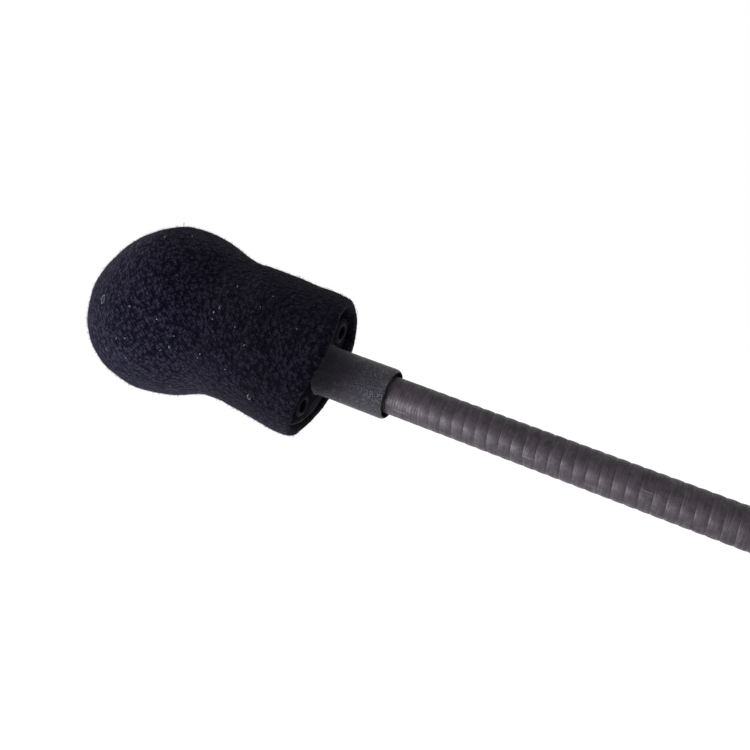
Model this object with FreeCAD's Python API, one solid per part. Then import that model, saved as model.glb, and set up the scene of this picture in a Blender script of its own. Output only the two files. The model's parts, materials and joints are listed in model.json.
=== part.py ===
import FreeCAD, Part
import math
import os

# Gooseneck podium microphone. Millimetres, +Z up, origin at the centre of the mounting flange's
# underside. The neck rises along +Z, bends towards -Y, and the head points along -Y and up.

# ---- driving dimensions ------------------------------------------------------------------------
HEAD_RISE_DEG = 17.5        # the head's axis above the horizontal at rest
EAR_ROLL_DEG = 30.0         # how far the boot's two ears are turned from the head's upright plane

NECK_R = 4.0                # outside radius of the wound neck
NECK_BORE_R = 2.3
TURN_PITCH = 2.48           # one turn of the outer winding
GROOVE_DEPTH = 0.25
GROOVE_HALF_WIDTH = 0.3
NECK_START_Z = 61.5         # where the neck leaves the base
NECK_UPRIGHT = 126.0        # straight length above the base
NECK_BEND_R = 110.0
NECK_REACH = 100.0          # straight length below the head
NECK_JOINTS = 12
JOINT_GAP = 0.15            # half the gap between two neck links at their pivot
JOINT_CONE_DEG = 13.0       # each link's end is coned back by this, so two links can lean 26 degrees
NECK_TAIL = 15.0            # neck held inside the base
NECK_HEAD_TAIL = 13.0       # neck held inside the boot
LEAD_R = 1.4
LEAD_GAP = 0.4

BOOT_R = 5.4
BOOT_BORE_R = 4.65
FLANGE_T = 17.0             # rear face of the boot's flange, measured from the boot's neck end
FLANGE_THICK = 3.5
FLANGE_CENTRE_R = 6.8
EAR_R = 3.4
EAR_OFFSET = 9.2            # a boot screw's distance from the axis
SCREW_HEAD_R = 1.42
SCREW_SHANK_R = 1.05

HOUSING_R = 13.0
HOUSING_BORE_R = 11.6
PLATE_T = 19.0              # rear face of the head's rear plate
HOUSING_FRONT_T = 39.0
BASKET_R = 12.6
BASKET_START_T = 41.0
BASKET_SHOULDER_T = 52.0
BASKET_NOSE_T = 62.0
BASKET_WALL = 0.5
BASKET_SLOTS = 12
CAPSULE_R = 8.0
CAPSULE_REAR_T = 43.0
CAPSULE_FRONT_T = 53.0

RIM_T = 17.3                # the windscreen's rear rim
COVER_THICK = 1.0
SKIN_GAP = 0.05             # between the cover and the foam
SCREEN_BORE_R = 13.2
# The cover's outside, from the rim to the nose: distance from the boot's neck end, and radius.
COVER_OUTLINE = [(20.0, 16.25), (29.6, 16.0), (39.5, 15.65), (47.2, 17.75), (57.0, 19.5)]
NOSE_T = 76.6

FLANGE_R = 32.0
FLANGE_PLATE_THICK = 4.0
FLANGE_HUB_R = 19.0
FLANGE_HUB_Z = 8.0
FLANGE_HOLE_R = 15.5
BOLT_PCD = 50.0
BOLT_COUNT = 3
BOLT_HOLE_R = 2.25
BOLT_HEAD_R = 4.4
ISOLATOR_BOTTOM_Z = 0.6
CLAMP_TOP_Z = 9.8
CLAMP_SCREW_CIRCLE_R = 17.2
CLAMP_SCREW_R = 0.9
SLEEVE_R = 11.0
SLEEVE_BORE_R = 9.5
SLEEVE_BOTTOM_Z = 0.3
SLEEVE_TAPER_Z = 44.0
SLEEVE_TOP_Z = 60.0
SLEEVE_TOP_R = 6.4
SLEEVE_SHOULDER_Z = 41.0
FERRULE_R = 5.0
INSERT_R = 9.45
RECEPTACLE_R = 8.05
RECEPTACLE_DEPTH_Z = 15.0
INSERT_TOP_Z = 22.0
CONTACT_R = 1.19
CONTACT_CIRCLE_R = 4.05
CONTACT_TIP_Z = 3.0
CONTACT_TAIL_Z = 26.0

V = FreeCAD.Vector
UP = V(0, 0, 1)
FIT = 0.03                  # clearance round a fixed piece in its seat


# ---- the line that the neck follows --------------------------------------------------------------
BEND_DEG = 90.0 - HEAD_RISE_DEG
BEND_LENGTH = NECK_BEND_R * math.radians(BEND_DEG)
BEND_END = NECK_UPRIGHT + BEND_LENGTH
NECK_LENGTH = BEND_END + NECK_REACH


def placed_at(p):
    """The frame on the neck's line, p from where the neck leaves the base: +Z runs along the line."""
    if p <= NECK_UPRIGHT:
        lean, y, z = 0.0, 0.0, NECK_START_Z + p
    else:
        lean = min((p - NECK_UPRIGHT) / NECK_BEND_R, math.radians(BEND_DEG))
        past = max(p - BEND_END, 0.0)
        y = -NECK_BEND_R * (1 - math.cos(lean)) - past * math.sin(lean)
        z = NECK_START_Z + NECK_UPRIGHT + NECK_BEND_R * math.sin(lean) + past * math.cos(lean)
    return FreeCAD.Placement(V(0, y, z), FreeCAD.Rotation(V(1, 0, 0), math.degrees(lean)))


HEAD = placed_at(NECK_LENGTH)


def on_head(shape):
    """Move a shape from the head's own frame, +Z forwards from the boot's neck end, to its place."""
    shape.Placement = HEAD.multiply(shape.Placement)
    return shape


# ---- shapes ---------------------------------------------------------------------------------------
def turned(points):
    """A solid turned about Z from a closed outline of (radius, height) points."""
    wire = Part.makePolygon([V(r, 0, z) for r, z in points + points[:1]])
    return Part.Face(wire).revolve(V(0, 0, 0), UP, 360)


def disc(r, z1, z2):
    return Part.makeCylinder(r, z2 - z1, V(0, 0, z1))


def ring(r_in, r_out, z1, z2):
    return turned([(r_in, z1), (r_out, z1), (r_out, z2), (r_in, z2)])


def spread(shape, count, first_deg=0.0):
    """Copies of a shape evenly round Z."""
    copies = []
    for i in range(count):
        copy = shape.copy()
        copy.rotate(V(0, 0, 0), UP, first_deg + i * 360.0 / count)
        copies.append(copy)
    return copies


def screw(head_r, shank_r, head_z1, head_z2, tip_z, cross=0.9):
    """A pan-head screw whose head is at the lower end, with a cross recess in its face."""
    body = disc(head_r, head_z1, head_z2).fuse(disc(shank_r, head_z2, tip_z))
    for size in ((cross * 2, 0.35), (0.35, cross * 2)):
        slot = Part.makeBox(size[0], size[1], 0.5, V(-size[0] / 2, -size[1] / 2, head_z1 - 0.1))
        body = body.cut(slot)
    return body


def rod_along(r, p1, p2):
    """A round rod that follows the neck's line from p1 to p2."""
    if p1 >= BEND_END:
        rod = disc(r, 0, p2 - p1)
        rod.Placement = placed_at(p1)
        return rod
    stops = [p1] + [p for p in (NECK_UPRIGHT, BEND_END) if p1 < p < p2] + [p2]
    rod = None
    for a, b in zip(stops, stops[1:]):
        start = placed_at(a)
        middle = (a + b) / 2
        if NECK_UPRIGHT < middle < BEND_END:
            section = Part.Face(Part.Wire(Part.makeCircle(r, V(0, 0, 0), UP)))
            section.Placement = start
            centre = V(0, -NECK_BEND_R, NECK_START_Z + NECK_UPRIGHT)
            piece = section.revolve(centre, V(1, 0, 0), math.degrees((b - a) / NECK_BEND_R))
        else:
            piece = Part.makeCylinder(r, b - a)
            piece.Placement = start
        rod = piece if rod is None else rod.fuse(piece)
    return rod


def end_cone(towards):
    """What is cut off a link's end so that it can lean: towards is +1 at its upper end."""
    far = 3 * NECK_R
    back = far * math.tan(math.radians(JOINT_CONE_DEG))
    cone = turned([(0, -JOINT_GAP), (far, -JOINT_GAP - back), (far, NECK_R), (0, NECK_R)])
    return cone if towards > 0 else cone.mirror(V(0, 0, 0), UP)


def groove_places(p1, p2):
    """Where the grooves between the winding's turns lie on a link, from its neighbours' rhythm."""
    first = math.ceil((p1 + 1.0) / TURN_PITCH)
    last = math.floor((p2 - 1.0) / TURN_PITCH)
    return [n * TURN_PITCH for n in range(first, last + 1)]


def groove_ring():
    """One V groove, as a ring to cut from a link."""
    outside = NECK_R + 0.2
    slope = GROOVE_HALF_WIDTH / GROOVE_DEPTH
    wide = GROOVE_HALF_WIDTH + 0.2 * slope
    return turned([(NECK_R - GROOVE_DEPTH, 0), (outside, -wide), (outside, wide)])


def neck_link(p1, p2):
    """One link of the wound neck: a grooved tube, coned back at the ends that meet a pivot."""
    cuts = [(groove_ring(), p) for p in groove_places(p1, p2)]
    if p1 > 0:
        cuts.append((end_cone(-1), p1))
    if p2 < NECK_LENGTH:
        cuts.append((end_cone(+1), p2))
    straight = p1 >= BEND_END       # cut while it stands on Z, where its cylinders and cones are exact
    for cutter, p in cuts:
        cutter.Placement = FreeCAD.Placement(V(0, 0, p - p1), FreeCAD.Rotation()) if straight \
            else placed_at(p)
    if straight:
        link = ring(NECK_BORE_R, NECK_R, 0, p2 - p1).cut([cutter for cutter, p in cuts])
        link.Placement = placed_at(p1)
        return link
    bore = rod_along(NECK_BORE_R, p1 - 1.0, p2 + 1.0)
    return rod_along(NECK_R, p1, p2).cut([bore] + [cutter for cutter, p in cuts])


def ear_outline(grow, z1, z2):
    """The boot flange's outline: a round middle and two round ears, joined by straight tangents."""
    middle_r = FLANGE_CENTRE_R + grow
    ear_r = EAR_R + grow
    lean = math.asin((middle_r - ear_r) / EAR_OFFSET)
    across, along = math.cos(lean), math.sin(lean)
    corners = [(middle_r * across, middle_r * along), (ear_r * across, EAR_OFFSET + ear_r * along)]
    corners += [(-x, y) for x, y in reversed(corners)]
    corners += [(-x, -y) for x, y in corners]
    web = Part.Face(Part.makePolygon([V(x, y, z1) for x, y in corners + corners[:1]]))
    ears = [disc(ear_r, z1, z2).translated(V(0, side * EAR_OFFSET, 0)) for side in (1, -1)]
    plate = web.extrude(V(0, 0, z2 - z1)).fuse([disc(middle_r, z1, z2)] + ears).removeSplitter()
    plate.rotate(V(0, 0, 0), UP, EAR_ROLL_DEG)
    return plate


def at_ears(shape):
    """One copy of a shape at each boot screw."""
    copies = []
    for side in (1, -1):
        copy = shape.copy()
        copy.translate(V(0, side * EAR_OFFSET, 0))
        copy.rotate(V(0, 0, 0), UP, EAR_ROLL_DEG)
        copies.append(copy)
    return copies


# ---- the windscreen --------------------------------------------------------------------------------
def cover_solid(inset):
    """The windscreen's filled outer form, taken in by inset, as one smooth turned solid."""
    side = [V(r - inset, 0, t) for t, r in COVER_OUTLINE]
    curve = Part.BSplineCurve()
    curve.interpolate(side, InitialTangent=V(0, 0, 1), FinalTangent=V(0, 0, 1))
    ball_t = COVER_OUTLINE[-1][0]
    ball_r = COVER_OUTLINE[-1][1] - inset
    nose = V(0, 0, NOSE_T - inset)
    ellipse = Part.Ellipse(nose, V(ball_r, 0, ball_t), V(0, 0, ball_t))
    dome = arc_between(ellipse, V(ball_r, 0, ball_t), nose)
    rim_r = side[0].x
    corner = 2.2 - inset
    rim_t = RIM_T + inset
    middle = corner * (1 - math.sqrt(0.5))
    hem = Part.Arc(V(rim_r - corner, 0, rim_t), V(rim_r - middle, 0, rim_t + middle),
                   V(rim_r, 0, rim_t + corner)).toShape()
    edges = [Part.LineSegment(V(0, 0, rim_t), V(rim_r - corner, 0, rim_t)).toShape(), hem]
    if side[0].z - rim_t - corner > 0.01:
        edges.append(Part.LineSegment(V(rim_r, 0, rim_t + corner), side[0]).toShape())
    edges += [curve.toShape(), dome, Part.LineSegment(nose, V(0, 0, rim_t)).toShape()]
    return Part.Face(Part.Wire(edges)).revolve(V(0, 0, 0), UP, 360)


def arc_between(ellipse, start, end):
    """The part of an ellipse in the XZ half plane from start to end, the short way."""
    a, b = ellipse.parameter(start), ellipse.parameter(end)
    low, high = min(a, b), max(a, b)
    if high - low > math.pi:
        low, high = high, low + 2 * math.pi
    return ellipse.toShape(low, high)


def screen_bore(r, z_to):
    """The round hollow that the head stands in, with a domed end."""
    shoulder = z_to - 11.0
    bore = disc(r, RIM_T - 1, shoulder)
    dome = Part.makeSphere(r, V(0, 0, 0), UP, 0, 90, 360)
    squash = FreeCAD.Matrix()
    squash.scale(V(1, 1, 11.0 / r))
    dome = dome.transformGeometry(squash)
    dome.translate(V(0, 0, shoulder))
    return bore.fuse(dome)


def make_windscreen():
    hem_t = RIM_T + COVER_THICK + 0.1
    foam = cover_solid(COVER_THICK + SKIN_GAP).cut(disc(30, 0, hem_t + 0.1))
    foam = foam.cut(screen_bore(SCREEN_BORE_R, BASKET_NOSE_T + 1.5))
    inner = cover_solid(COVER_THICK)
    cover = cover_solid(0).cut([inner, disc(15.0, 0, hem_t)])
    hem = ring(SCREEN_BORE_R, 14.9, RIM_T + 0.1, hem_t)
    return {"fabric_cover": on_head(cover), "foam_windscreen": on_head(foam),
            "hem_band": on_head(hem)}


# ---- the head ---------------------------------------------------------------------------------------
def make_boot():
    """The moulded boot: a round sleeve over the neck's end, with a two-eared flange at its root."""
    sleeve = turned([(2.5, 15.0), (2.5, FLANGE_T + FLANGE_THICK), (BOOT_R, FLANGE_T + FLANGE_THICK),
                     (BOOT_R, 0.9), (BOOT_R - 0.25, 0.3), (BOOT_R - 0.7, 0.0), (4.2, 0.0),
                     (4.2, 1.2), (BOOT_BORE_R, 1.2), (BOOT_BORE_R, 15.0)])
    root = turned([(BOOT_R - 0.2, FLANGE_T + 0.5), (BOOT_R - 0.2, FLANGE_T - 0.8),
                   (BOOT_R, FLANGE_T - 0.8), (BOOT_R + 0.7, FLANGE_T), (BOOT_R + 0.7, FLANGE_T + 0.5)])
    flange = ear_outline(0, FLANGE_T, FLANGE_T + FLANGE_THICK).cut(disc(BOOT_R - 0.1, 0, 30))
    holes = at_ears(disc(SCREW_HEAD_R + 0.12, 0, FLANGE_T + 2.3))
    holes += at_ears(disc(SCREW_SHANK_R + 0.06, 0, 30))
    return sleeve.fuse([flange, root]).cut(holes).removeSplitter()


def make_head():
    flange_back = FLANGE_T + FLANGE_THICK
    bosses = at_ears(disc(2.3, PLATE_T + 3.4, PLATE_T + 8.0))
    plate = disc(HOUSING_BORE_R - FIT, PLATE_T, PLATE_T + 3.5).fuse(bosses)
    plate = plate.cut([ear_outline(0.1, 0, flange_back + 0.01), disc(1.8, 0, 60)]
                      + at_ears(disc(SCREW_SHANK_R + 0.01, 0, PLATE_T + 7.0)))
    housing = turned([(HOUSING_BORE_R, PLATE_T), (HOUSING_R - 0.4, PLATE_T),
                      (HOUSING_R, PLATE_T + 0.4), (HOUSING_R, HOUSING_FRONT_T),
                      (HOUSING_BORE_R, HOUSING_FRONT_T)])
    housing = housing.cut(ear_outline(0.1, 0, flange_back + 0.01))
    collar = turned([(BASKET_R - 0.9, HOUSING_FRONT_T), (HOUSING_R, HOUSING_FRONT_T),
                     (HOUSING_R, BASKET_START_T - 0.4), (HOUSING_R - 0.4, BASKET_START_T),
                     (BASKET_R - 0.9, BASKET_START_T)])
    return {
        "boot": on_head(make_boot()),
        "boot_screws": on_head(Part.makeCompound(at_ears(screw(
            SCREW_HEAD_R, SCREW_SHANK_R, FLANGE_T + 1.3, FLANGE_T + 2.3, PLATE_T + 6.5)))),
        "rear_plate": on_head(plate),
        "head_housing": on_head(housing),
        "grille_ring": on_head(collar),
        "grille_basket": on_head(make_basket()),
        "neck_top_ferrule": on_head(ring(NECK_R + FIT, BOOT_BORE_R - FIT, 1.4, 14.0)),
        "head_lead": on_head(disc(LEAD_R, -half_step() + LEAD_GAP, CAPSULE_REAR_T - 0.2)),
    }


def basket_form(inset):
    """The basket's filled form: a short cylinder with a domed nose."""
    r = BASKET_R - inset
    height = BASKET_NOSE_T - BASKET_SHOULDER_T - inset
    dome = Part.makeSphere(r, V(0, 0, 0), UP, 0, 90, 360)
    squash = FreeCAD.Matrix()
    squash.scale(V(1, 1, height / r))
    dome = dome.transformGeometry(squash)
    dome.translate(V(0, 0, BASKET_SHOULDER_T))
    return disc(r, BASKET_START_T, BASKET_SHOULDER_T).fuse(dome)


def make_basket():
    """The guard over the capsule, a domed shell with slots between its ribs."""
    shell = basket_form(0).cut(basket_form(BASKET_WALL))
    slot = Part.makeBox(10.0, 3.6, 8.0, V(7.0, -1.8, BASKET_START_T + 1.6))
    return shell.cut(spread(slot, BASKET_SLOTS))


def make_capsule():
    """The electret capsule, front to back, in its soft mount."""
    can = ring(CAPSULE_R - 0.6, CAPSULE_R, CAPSULE_REAR_T, CAPSULE_FRONT_T)
    front = disc(CAPSULE_R - 0.3, CAPSULE_FRONT_T - 0.6, CAPSULE_FRONT_T)
    inlets = [disc(0.8, 50, 60)]
    for i in range(6):
        hole = disc(0.8, 50, 60)
        hole.translate(V(4.2 * math.cos(i * math.pi / 3), 4.2 * math.sin(i * math.pi / 3), 0))
        inlets.append(hole)
    inside_r = CAPSULE_R - 0.7
    backplate = disc(6.6, 50.7, 51.3).cut(spread(ring(0.0001, 0.5, 50, 52).translated(V(4, 0, 0)), 6))
    felt = disc(BASKET_R - BASKET_WALL - 0.4, 53.4, 54.8)
    felt = felt.common(basket_form(BASKET_WALL + 0.2))
    return {
        "capsule_can": on_head(can.fuse(front.cut(inlets))),
        "capsule_mount": on_head(ring(CAPSULE_R + 0.02, BASKET_R - BASKET_WALL - 0.1,
                                      CAPSULE_REAR_T - 1, CAPSULE_REAR_T + 6)),
        "diaphragm": on_head(ring(6.4, inside_r, 51.35, 51.8).fuse(disc(6.5, 51.5, 51.6))),
        "backplate": on_head(backplate),
        "backplate_holder": on_head(ring(4.8, inside_r, 44.3, 50.6)),
        "capsule_board": on_head(disc(inside_r, CAPSULE_REAR_T, CAPSULE_REAR_T + 1.0)),
        "acoustic_felt": on_head(felt),
    }


# ---- the neck ----------------------------------------------------------------------------------------
def half_step():
    """From a straight neck end to its nearest pivot: half the spacing of the pivots."""
    return NECK_LENGTH / NECK_JOINTS / 2


def pivots():
    step = NECK_LENGTH / NECK_JOINTS
    return [step * (k + 0.5) for k in range(NECK_JOINTS)]


def make_neck():
    """Thirteen links of the wound neck, and the lead's lengths in the eleven that move freely."""
    stops = [-NECK_TAIL] + pivots() + [NECK_LENGTH + NECK_HEAD_TAIL]
    nodes = {}
    for k, (a, b) in enumerate(zip(stops, stops[1:])):
        nodes["neck_coil_%02d" % (k + 1)] = neck_link(a, b)
        if 0 < k < NECK_JOINTS:
            nodes["neck_lead_%02d" % k] = rod_along(LEAD_R, a + LEAD_GAP, b - LEAD_GAP)
    return nodes


# ---- the base ----------------------------------------------------------------------------------------
def make_flange():
    body = turned([(FLANGE_HOLE_R, 0), (FLANGE_R, 0), (FLANGE_R, FLANGE_PLATE_THICK - 1.2),
                   (FLANGE_R - 1.2, FLANGE_PLATE_THICK), (FLANGE_HUB_R + 1.5, FLANGE_PLATE_THICK),
                   (FLANGE_HUB_R, FLANGE_PLATE_THICK + 1.5), (FLANGE_HUB_R, FLANGE_HUB_Z),
                   (FLANGE_HOLE_R, FLANGE_HUB_Z)])
    deep = BOLT_HEAD_R - BOLT_HOLE_R
    hole = turned([(0, -1), (BOLT_HOLE_R, -1), (BOLT_HOLE_R, FLANGE_PLATE_THICK - deep),
                   (BOLT_HEAD_R + 1, FLANGE_PLATE_THICK + 1), (0, FLANGE_PLATE_THICK + 1)])
    hole.translate(V(0, BOLT_PCD / 2, 0))
    tapped = disc(CLAMP_SCREW_R, FLANGE_HUB_Z - 4, FLANGE_HUB_Z + 1)
    tapped.translate(V(0, CLAMP_SCREW_CIRCLE_R, 0))
    return body.cut(spread(hole, BOLT_COUNT, 60) + spread(tapped, 3))


def make_clamp_ring():
    body = turned([(SLEEVE_R + 1.4, FLANGE_HUB_Z), (FLANGE_HUB_R, FLANGE_HUB_Z),
                   (FLANGE_HUB_R, CLAMP_TOP_Z - 0.6), (FLANGE_HUB_R - 0.6, CLAMP_TOP_Z),
                   (SLEEVE_R + 1.8, CLAMP_TOP_Z), (SLEEVE_R + 1.4, CLAMP_TOP_Z - 0.4)])
    hole = disc(CLAMP_SCREW_R + 0.1, 0, 20).fuse(disc(1.7, CLAMP_TOP_Z - 1.0, 20))
    hole.translate(V(0, CLAMP_SCREW_CIRCLE_R, 0))
    return body.cut(spread(hole, 3))


def make_clamp_screws():
    one = screw(1.55, CLAMP_SCREW_R - 0.02, 0, 0.9, 4.6)
    one.rotate(V(0, 0, 0), V(1, 0, 0), 180)
    one.translate(V(0, CLAMP_SCREW_CIRCLE_R, CLAMP_TOP_Z - 0.1))
    return Part.makeCompound(spread(one, 3))


def radial_hole(r, z, inner, outer):
    """A rod that points out of the base's back, for a radial screw and its hole."""
    return Part.makeCylinder(r, outer - inner, V(0, inner, z), V(0, 1, 0))


def make_sleeve():
    body = turned([(SLEEVE_BORE_R, SLEEVE_BOTTOM_Z), (SLEEVE_R - 0.5, SLEEVE_BOTTOM_Z),
                   (SLEEVE_R, SLEEVE_BOTTOM_Z + 0.5), (SLEEVE_R, SLEEVE_TAPER_Z),
                   (SLEEVE_TOP_R, SLEEVE_TOP_Z - 1.5), (SLEEVE_TOP_R, SLEEVE_TOP_Z),
                   (FERRULE_R + FIT, SLEEVE_TOP_Z), (FERRULE_R + FIT, SLEEVE_SHOULDER_Z),
                   (SLEEVE_BORE_R, SLEEVE_SHOULDER_Z)])
    ring_groove = ring(SLEEVE_R - 0.4, SLEEVE_R + 1, 38.5, 39.3)
    return body.cut([ring_groove, radial_hole(1.02, 18.0, 5, 12), radial_hole(1.02, 55.0, 4, 12)])


def make_receptacle():
    """The three-pin receptacle's moulded body, open downwards, and its contacts."""
    body = turned([(RECEPTACLE_R, SLEEVE_BOTTOM_Z), (INSERT_R, SLEEVE_BOTTOM_Z),
                   (INSERT_R, INSERT_TOP_Z), (0, INSERT_TOP_Z), (0, RECEPTACLE_DEPTH_Z),
                   (RECEPTACLE_R, RECEPTACLE_DEPTH_Z)])
    place = V(CONTACT_CIRCLE_R, 0, 0)
    seats = spread(disc(CONTACT_R + 0.01, 0, 40).translated(place), 3, 30)
    pin = turned([(0, CONTACT_TIP_Z), (CONTACT_R - 0.5, CONTACT_TIP_Z),
                  (CONTACT_R, CONTACT_TIP_Z + 0.8), (CONTACT_R, CONTACT_TAIL_Z),
                  (0.7, CONTACT_TAIL_Z), (0.7, CONTACT_TAIL_Z - 2.5), (0, CONTACT_TAIL_Z - 2.5)])
    pins = spread(pin.translated(place), 3, 30)
    return body.cut(seats + [radial_hole(1.02, 18.0, 8.2, 12)]), Part.makeCompound(pins)


def make_board_parts():
    """What stands on the preamplifier board: a chip, a coil and two capacitors."""
    face = 0.6 + 0.02
    chip = Part.makeBox(5.0, 1.6, 4.0, V(-6.0, face, 29.5))
    coil = Part.makeBox(6.0, 3.5, 6.0, V(-3.0, -face - 3.5, 31.0))
    tall = Part.makeCylinder(1.8, 5.0, V(3.5, face, 30.5), V(0, 1, 0))
    small = Part.makeCylinder(1.3, 4.0, V(3.5, face, 35.5), V(0, 1, 0))
    return Part.makeCompound([chip, coil, tall, small])


def make_base():
    insert, contacts = make_receptacle()
    isolator = turned([(SLEEVE_R + 0.02, ISOLATOR_BOTTOM_Z), (FLANGE_HOLE_R - FIT, ISOLATOR_BOTTOM_Z),
                       (FLANGE_HOLE_R - FIT, FLANGE_HUB_Z - 0.02), (SLEEVE_R + 1.2, FLANGE_HUB_Z - 0.02),
                       (SLEEVE_R + 1.2, CLAMP_TOP_Z + 0.8), (SLEEVE_R + 0.02, CLAMP_TOP_Z + 1.6)])
    ferrule = turned([(NECK_R + FIT, 44.0), (FERRULE_R, 44.0), (FERRULE_R, SLEEVE_TOP_Z + 0.01),
                      (SLEEVE_TOP_R - 0.2, SLEEVE_TOP_Z + 0.01), (SLEEVE_TOP_R - 0.6, NECK_START_Z),
                      (NECK_R + FIT, NECK_START_Z)])
    hex_socket = radial_hole(0.45, 18.0, 10.0, 12)
    return {
        "flange_plate": make_flange(),
        "isolator_ring": isolator,
        "clamp_ring": make_clamp_ring(),
        "clamp_screws": make_clamp_screws(),
        "base_sleeve": make_sleeve(),
        "xlr_insert": insert,
        "xlr_contacts": contacts,
        "insert_screw": radial_hole(1.0, 18.0, 8.4, 10.8).cut(hex_socket),
        "neck_set_screw": radial_hole(1.0, 55.0, 5.06, 7.2).cut(radial_hole(0.45, 55.0, 6.4, 8)),
        "neck_bottom_ferrule": ferrule,
        "preamp_board": Part.makeBox(15.0, 1.2, 12.0, V(-7.5, -0.6, 27.5)),
        "board_parts": make_board_parts(),
        "base_lead": disc(LEAD_R, 40.0, NECK_START_Z + half_step() - LEAD_GAP),
    }


def main():
    os.makedirs("parts", exist_ok=True)
    nodes = {}
    for group in (make_base(), make_neck(), make_head(), make_capsule(), make_windscreen()):
        nodes.update(group)
    for name, shape in nodes.items():
        if not shape.isValid():
            print("not valid:", name)
        shape.exportStep("parts/%s.step" % name)
    print(len(nodes), "nodes; neck length %.1f, pivots every %.2f" % (NECK_LENGTH, 2 * half_step()))
    print("pivots", ["(%.2f, %.2f, %.2f)" % (0, placed_at(p).Base.y, placed_at(p).Base.z)
                     for p in pivots()])


main()
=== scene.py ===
# %% [markdown]
# # A gooseneck podium microphone
#
# This notebook dresses a packed microphone: a knit-covered foam windscreen on a small capsule
# head, a leather-grained boot, a wound steel gooseneck, and a shock-isolated flange base. The
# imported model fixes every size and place, so the first cell loads it and keeps its box.

# %% Load the frame
import json
import math

import bmesh
import bpy
import numpy as np
from mathutils import Matrix, Vector


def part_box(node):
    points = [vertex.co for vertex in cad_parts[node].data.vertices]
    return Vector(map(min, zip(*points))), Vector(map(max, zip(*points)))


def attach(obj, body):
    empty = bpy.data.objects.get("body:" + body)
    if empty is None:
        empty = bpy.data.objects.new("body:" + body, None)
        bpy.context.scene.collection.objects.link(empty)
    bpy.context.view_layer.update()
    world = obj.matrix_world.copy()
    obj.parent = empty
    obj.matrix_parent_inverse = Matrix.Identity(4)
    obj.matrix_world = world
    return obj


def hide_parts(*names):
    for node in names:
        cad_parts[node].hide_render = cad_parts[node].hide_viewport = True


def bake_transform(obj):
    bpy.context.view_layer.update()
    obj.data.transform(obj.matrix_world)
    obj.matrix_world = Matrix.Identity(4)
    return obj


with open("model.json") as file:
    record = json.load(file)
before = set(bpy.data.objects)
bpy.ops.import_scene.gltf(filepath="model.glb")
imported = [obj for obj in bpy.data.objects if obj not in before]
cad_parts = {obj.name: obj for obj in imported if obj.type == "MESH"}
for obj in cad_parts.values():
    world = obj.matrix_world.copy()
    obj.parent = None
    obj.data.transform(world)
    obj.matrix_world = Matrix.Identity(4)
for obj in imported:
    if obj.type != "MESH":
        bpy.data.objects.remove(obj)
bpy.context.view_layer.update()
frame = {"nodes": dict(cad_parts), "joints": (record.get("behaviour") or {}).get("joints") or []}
MM = 0.001
joints = {joint["name"]: joint for joint in frame["joints"]}

# %% [markdown]
# ## The neck's line and the head's own frame
#
# Everything on this microphone is strung on one line: straight up out of the base, round one
# bend, and straight on to the head. The joints give two points and two directions of it, and the
# bend's radius is the one number added. A head piece is made upright at the origin, with +Z
# towards the nose, because that is how a lathe or a sock maker would hold it. One matrix then
# takes it to its place.

# %% The neck's line and the head's own frame
BEND_RADIUS = 110 * MM
NECK_JOINTS = 12

head_way = Vector(joints["windscreen_pull"]["axis"]).normalized()
neck_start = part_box("neck_bottom_ferrule")[1].z
first_pivot = Vector(joints["low_fore_1"]["pos_m"])
last_pivot = Vector(joints["high_side_3"]["pos_m"])
half_step = first_pivot.z - neck_start
neck_length = half_step * 2 * NECK_JOINTS
lean_all = math.acos(head_way.z)
boot_end = last_pivot + head_way * half_step
corner_z = boot_end.z - boot_end.y / head_way.y * head_way.z
upright = corner_z - neck_start - BEND_RADIUS * math.tan(lean_all / 2)
bend_end = upright + BEND_RADIUS * lean_all


def on_neck(p):
    """The frame at p metres along the neck's line: +Z runs along it, +X is the world's."""
    lean = min(max(p - upright, 0) / BEND_RADIUS, lean_all)
    past = max(p - bend_end, 0)
    y = -BEND_RADIUS * (1 - math.cos(lean)) - past * math.sin(lean)
    z = neck_start + min(p, upright) + BEND_RADIUS * math.sin(lean) + past * math.cos(lean)
    return Matrix.Translation((0, y, z)) @ Matrix.Rotation(lean, 4, "X")


HEAD = on_neck(neck_length)
print("neck %.1f mm, boot end off by %.3f mm" % (
    neck_length / MM, (HEAD.translation - boot_end).length / MM))

# %% [markdown]
# ## The camera
#
# A small product is shot close, so perspective matters: the neck runs towards the lens and the
# head away from it. The camera is placed from the boot's end, the middle of the subject, and
# stays level from side to side.

# %% The camera
CAMERA_AZIMUTH = math.radians(21.99)      # from +X towards +Y
CAMERA_ELEVATION = math.radians(4.26)
LENS_MM = 39.2
BOOT_END_IN_VIEW = Vector((3.6, -4.2, -169.1)) * MM     # right, up and back from the lens

camera = bpy.data.objects.new("camera", bpy.data.cameras.new("camera"))
bpy.context.scene.collection.objects.link(camera)
bpy.context.scene.camera = camera
camera.data.lens = LENS_MM
camera.data.sensor_width = 36
camera.data.clip_start = 1 * MM
turn = Matrix.Rotation(CAMERA_AZIMUTH + math.pi / 2, 3, "Z") @ Matrix.Rotation(
    math.pi / 2 - CAMERA_ELEVATION, 3, "X")
camera.matrix_world = Matrix.Translation(HEAD.translation - turn @ BOOT_END_IN_VIEW) @ turn.to_4x4()
print("camera at", [round(x, 3) for x in camera.matrix_world.translation])

# %% [markdown]
# ## Stage and light
#
# A white floor under a white surround is the plain sweep of a product shot. The object is black,
# so what shows its form is where the big soft light sits: one low in front, which lifts the
# undersides.

# %% Stage and light
scene = bpy.context.scene
scene.view_settings.view_transform = "Standard"

world = bpy.data.worlds.new("white surround")
world.use_nodes = True
scene.world = world
world.node_tree.nodes["Background"].inputs["Color"].default_value = (1, 1, 1, 1)
world.node_tree.nodes["Background"].inputs["Strength"].default_value = 1.0

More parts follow.
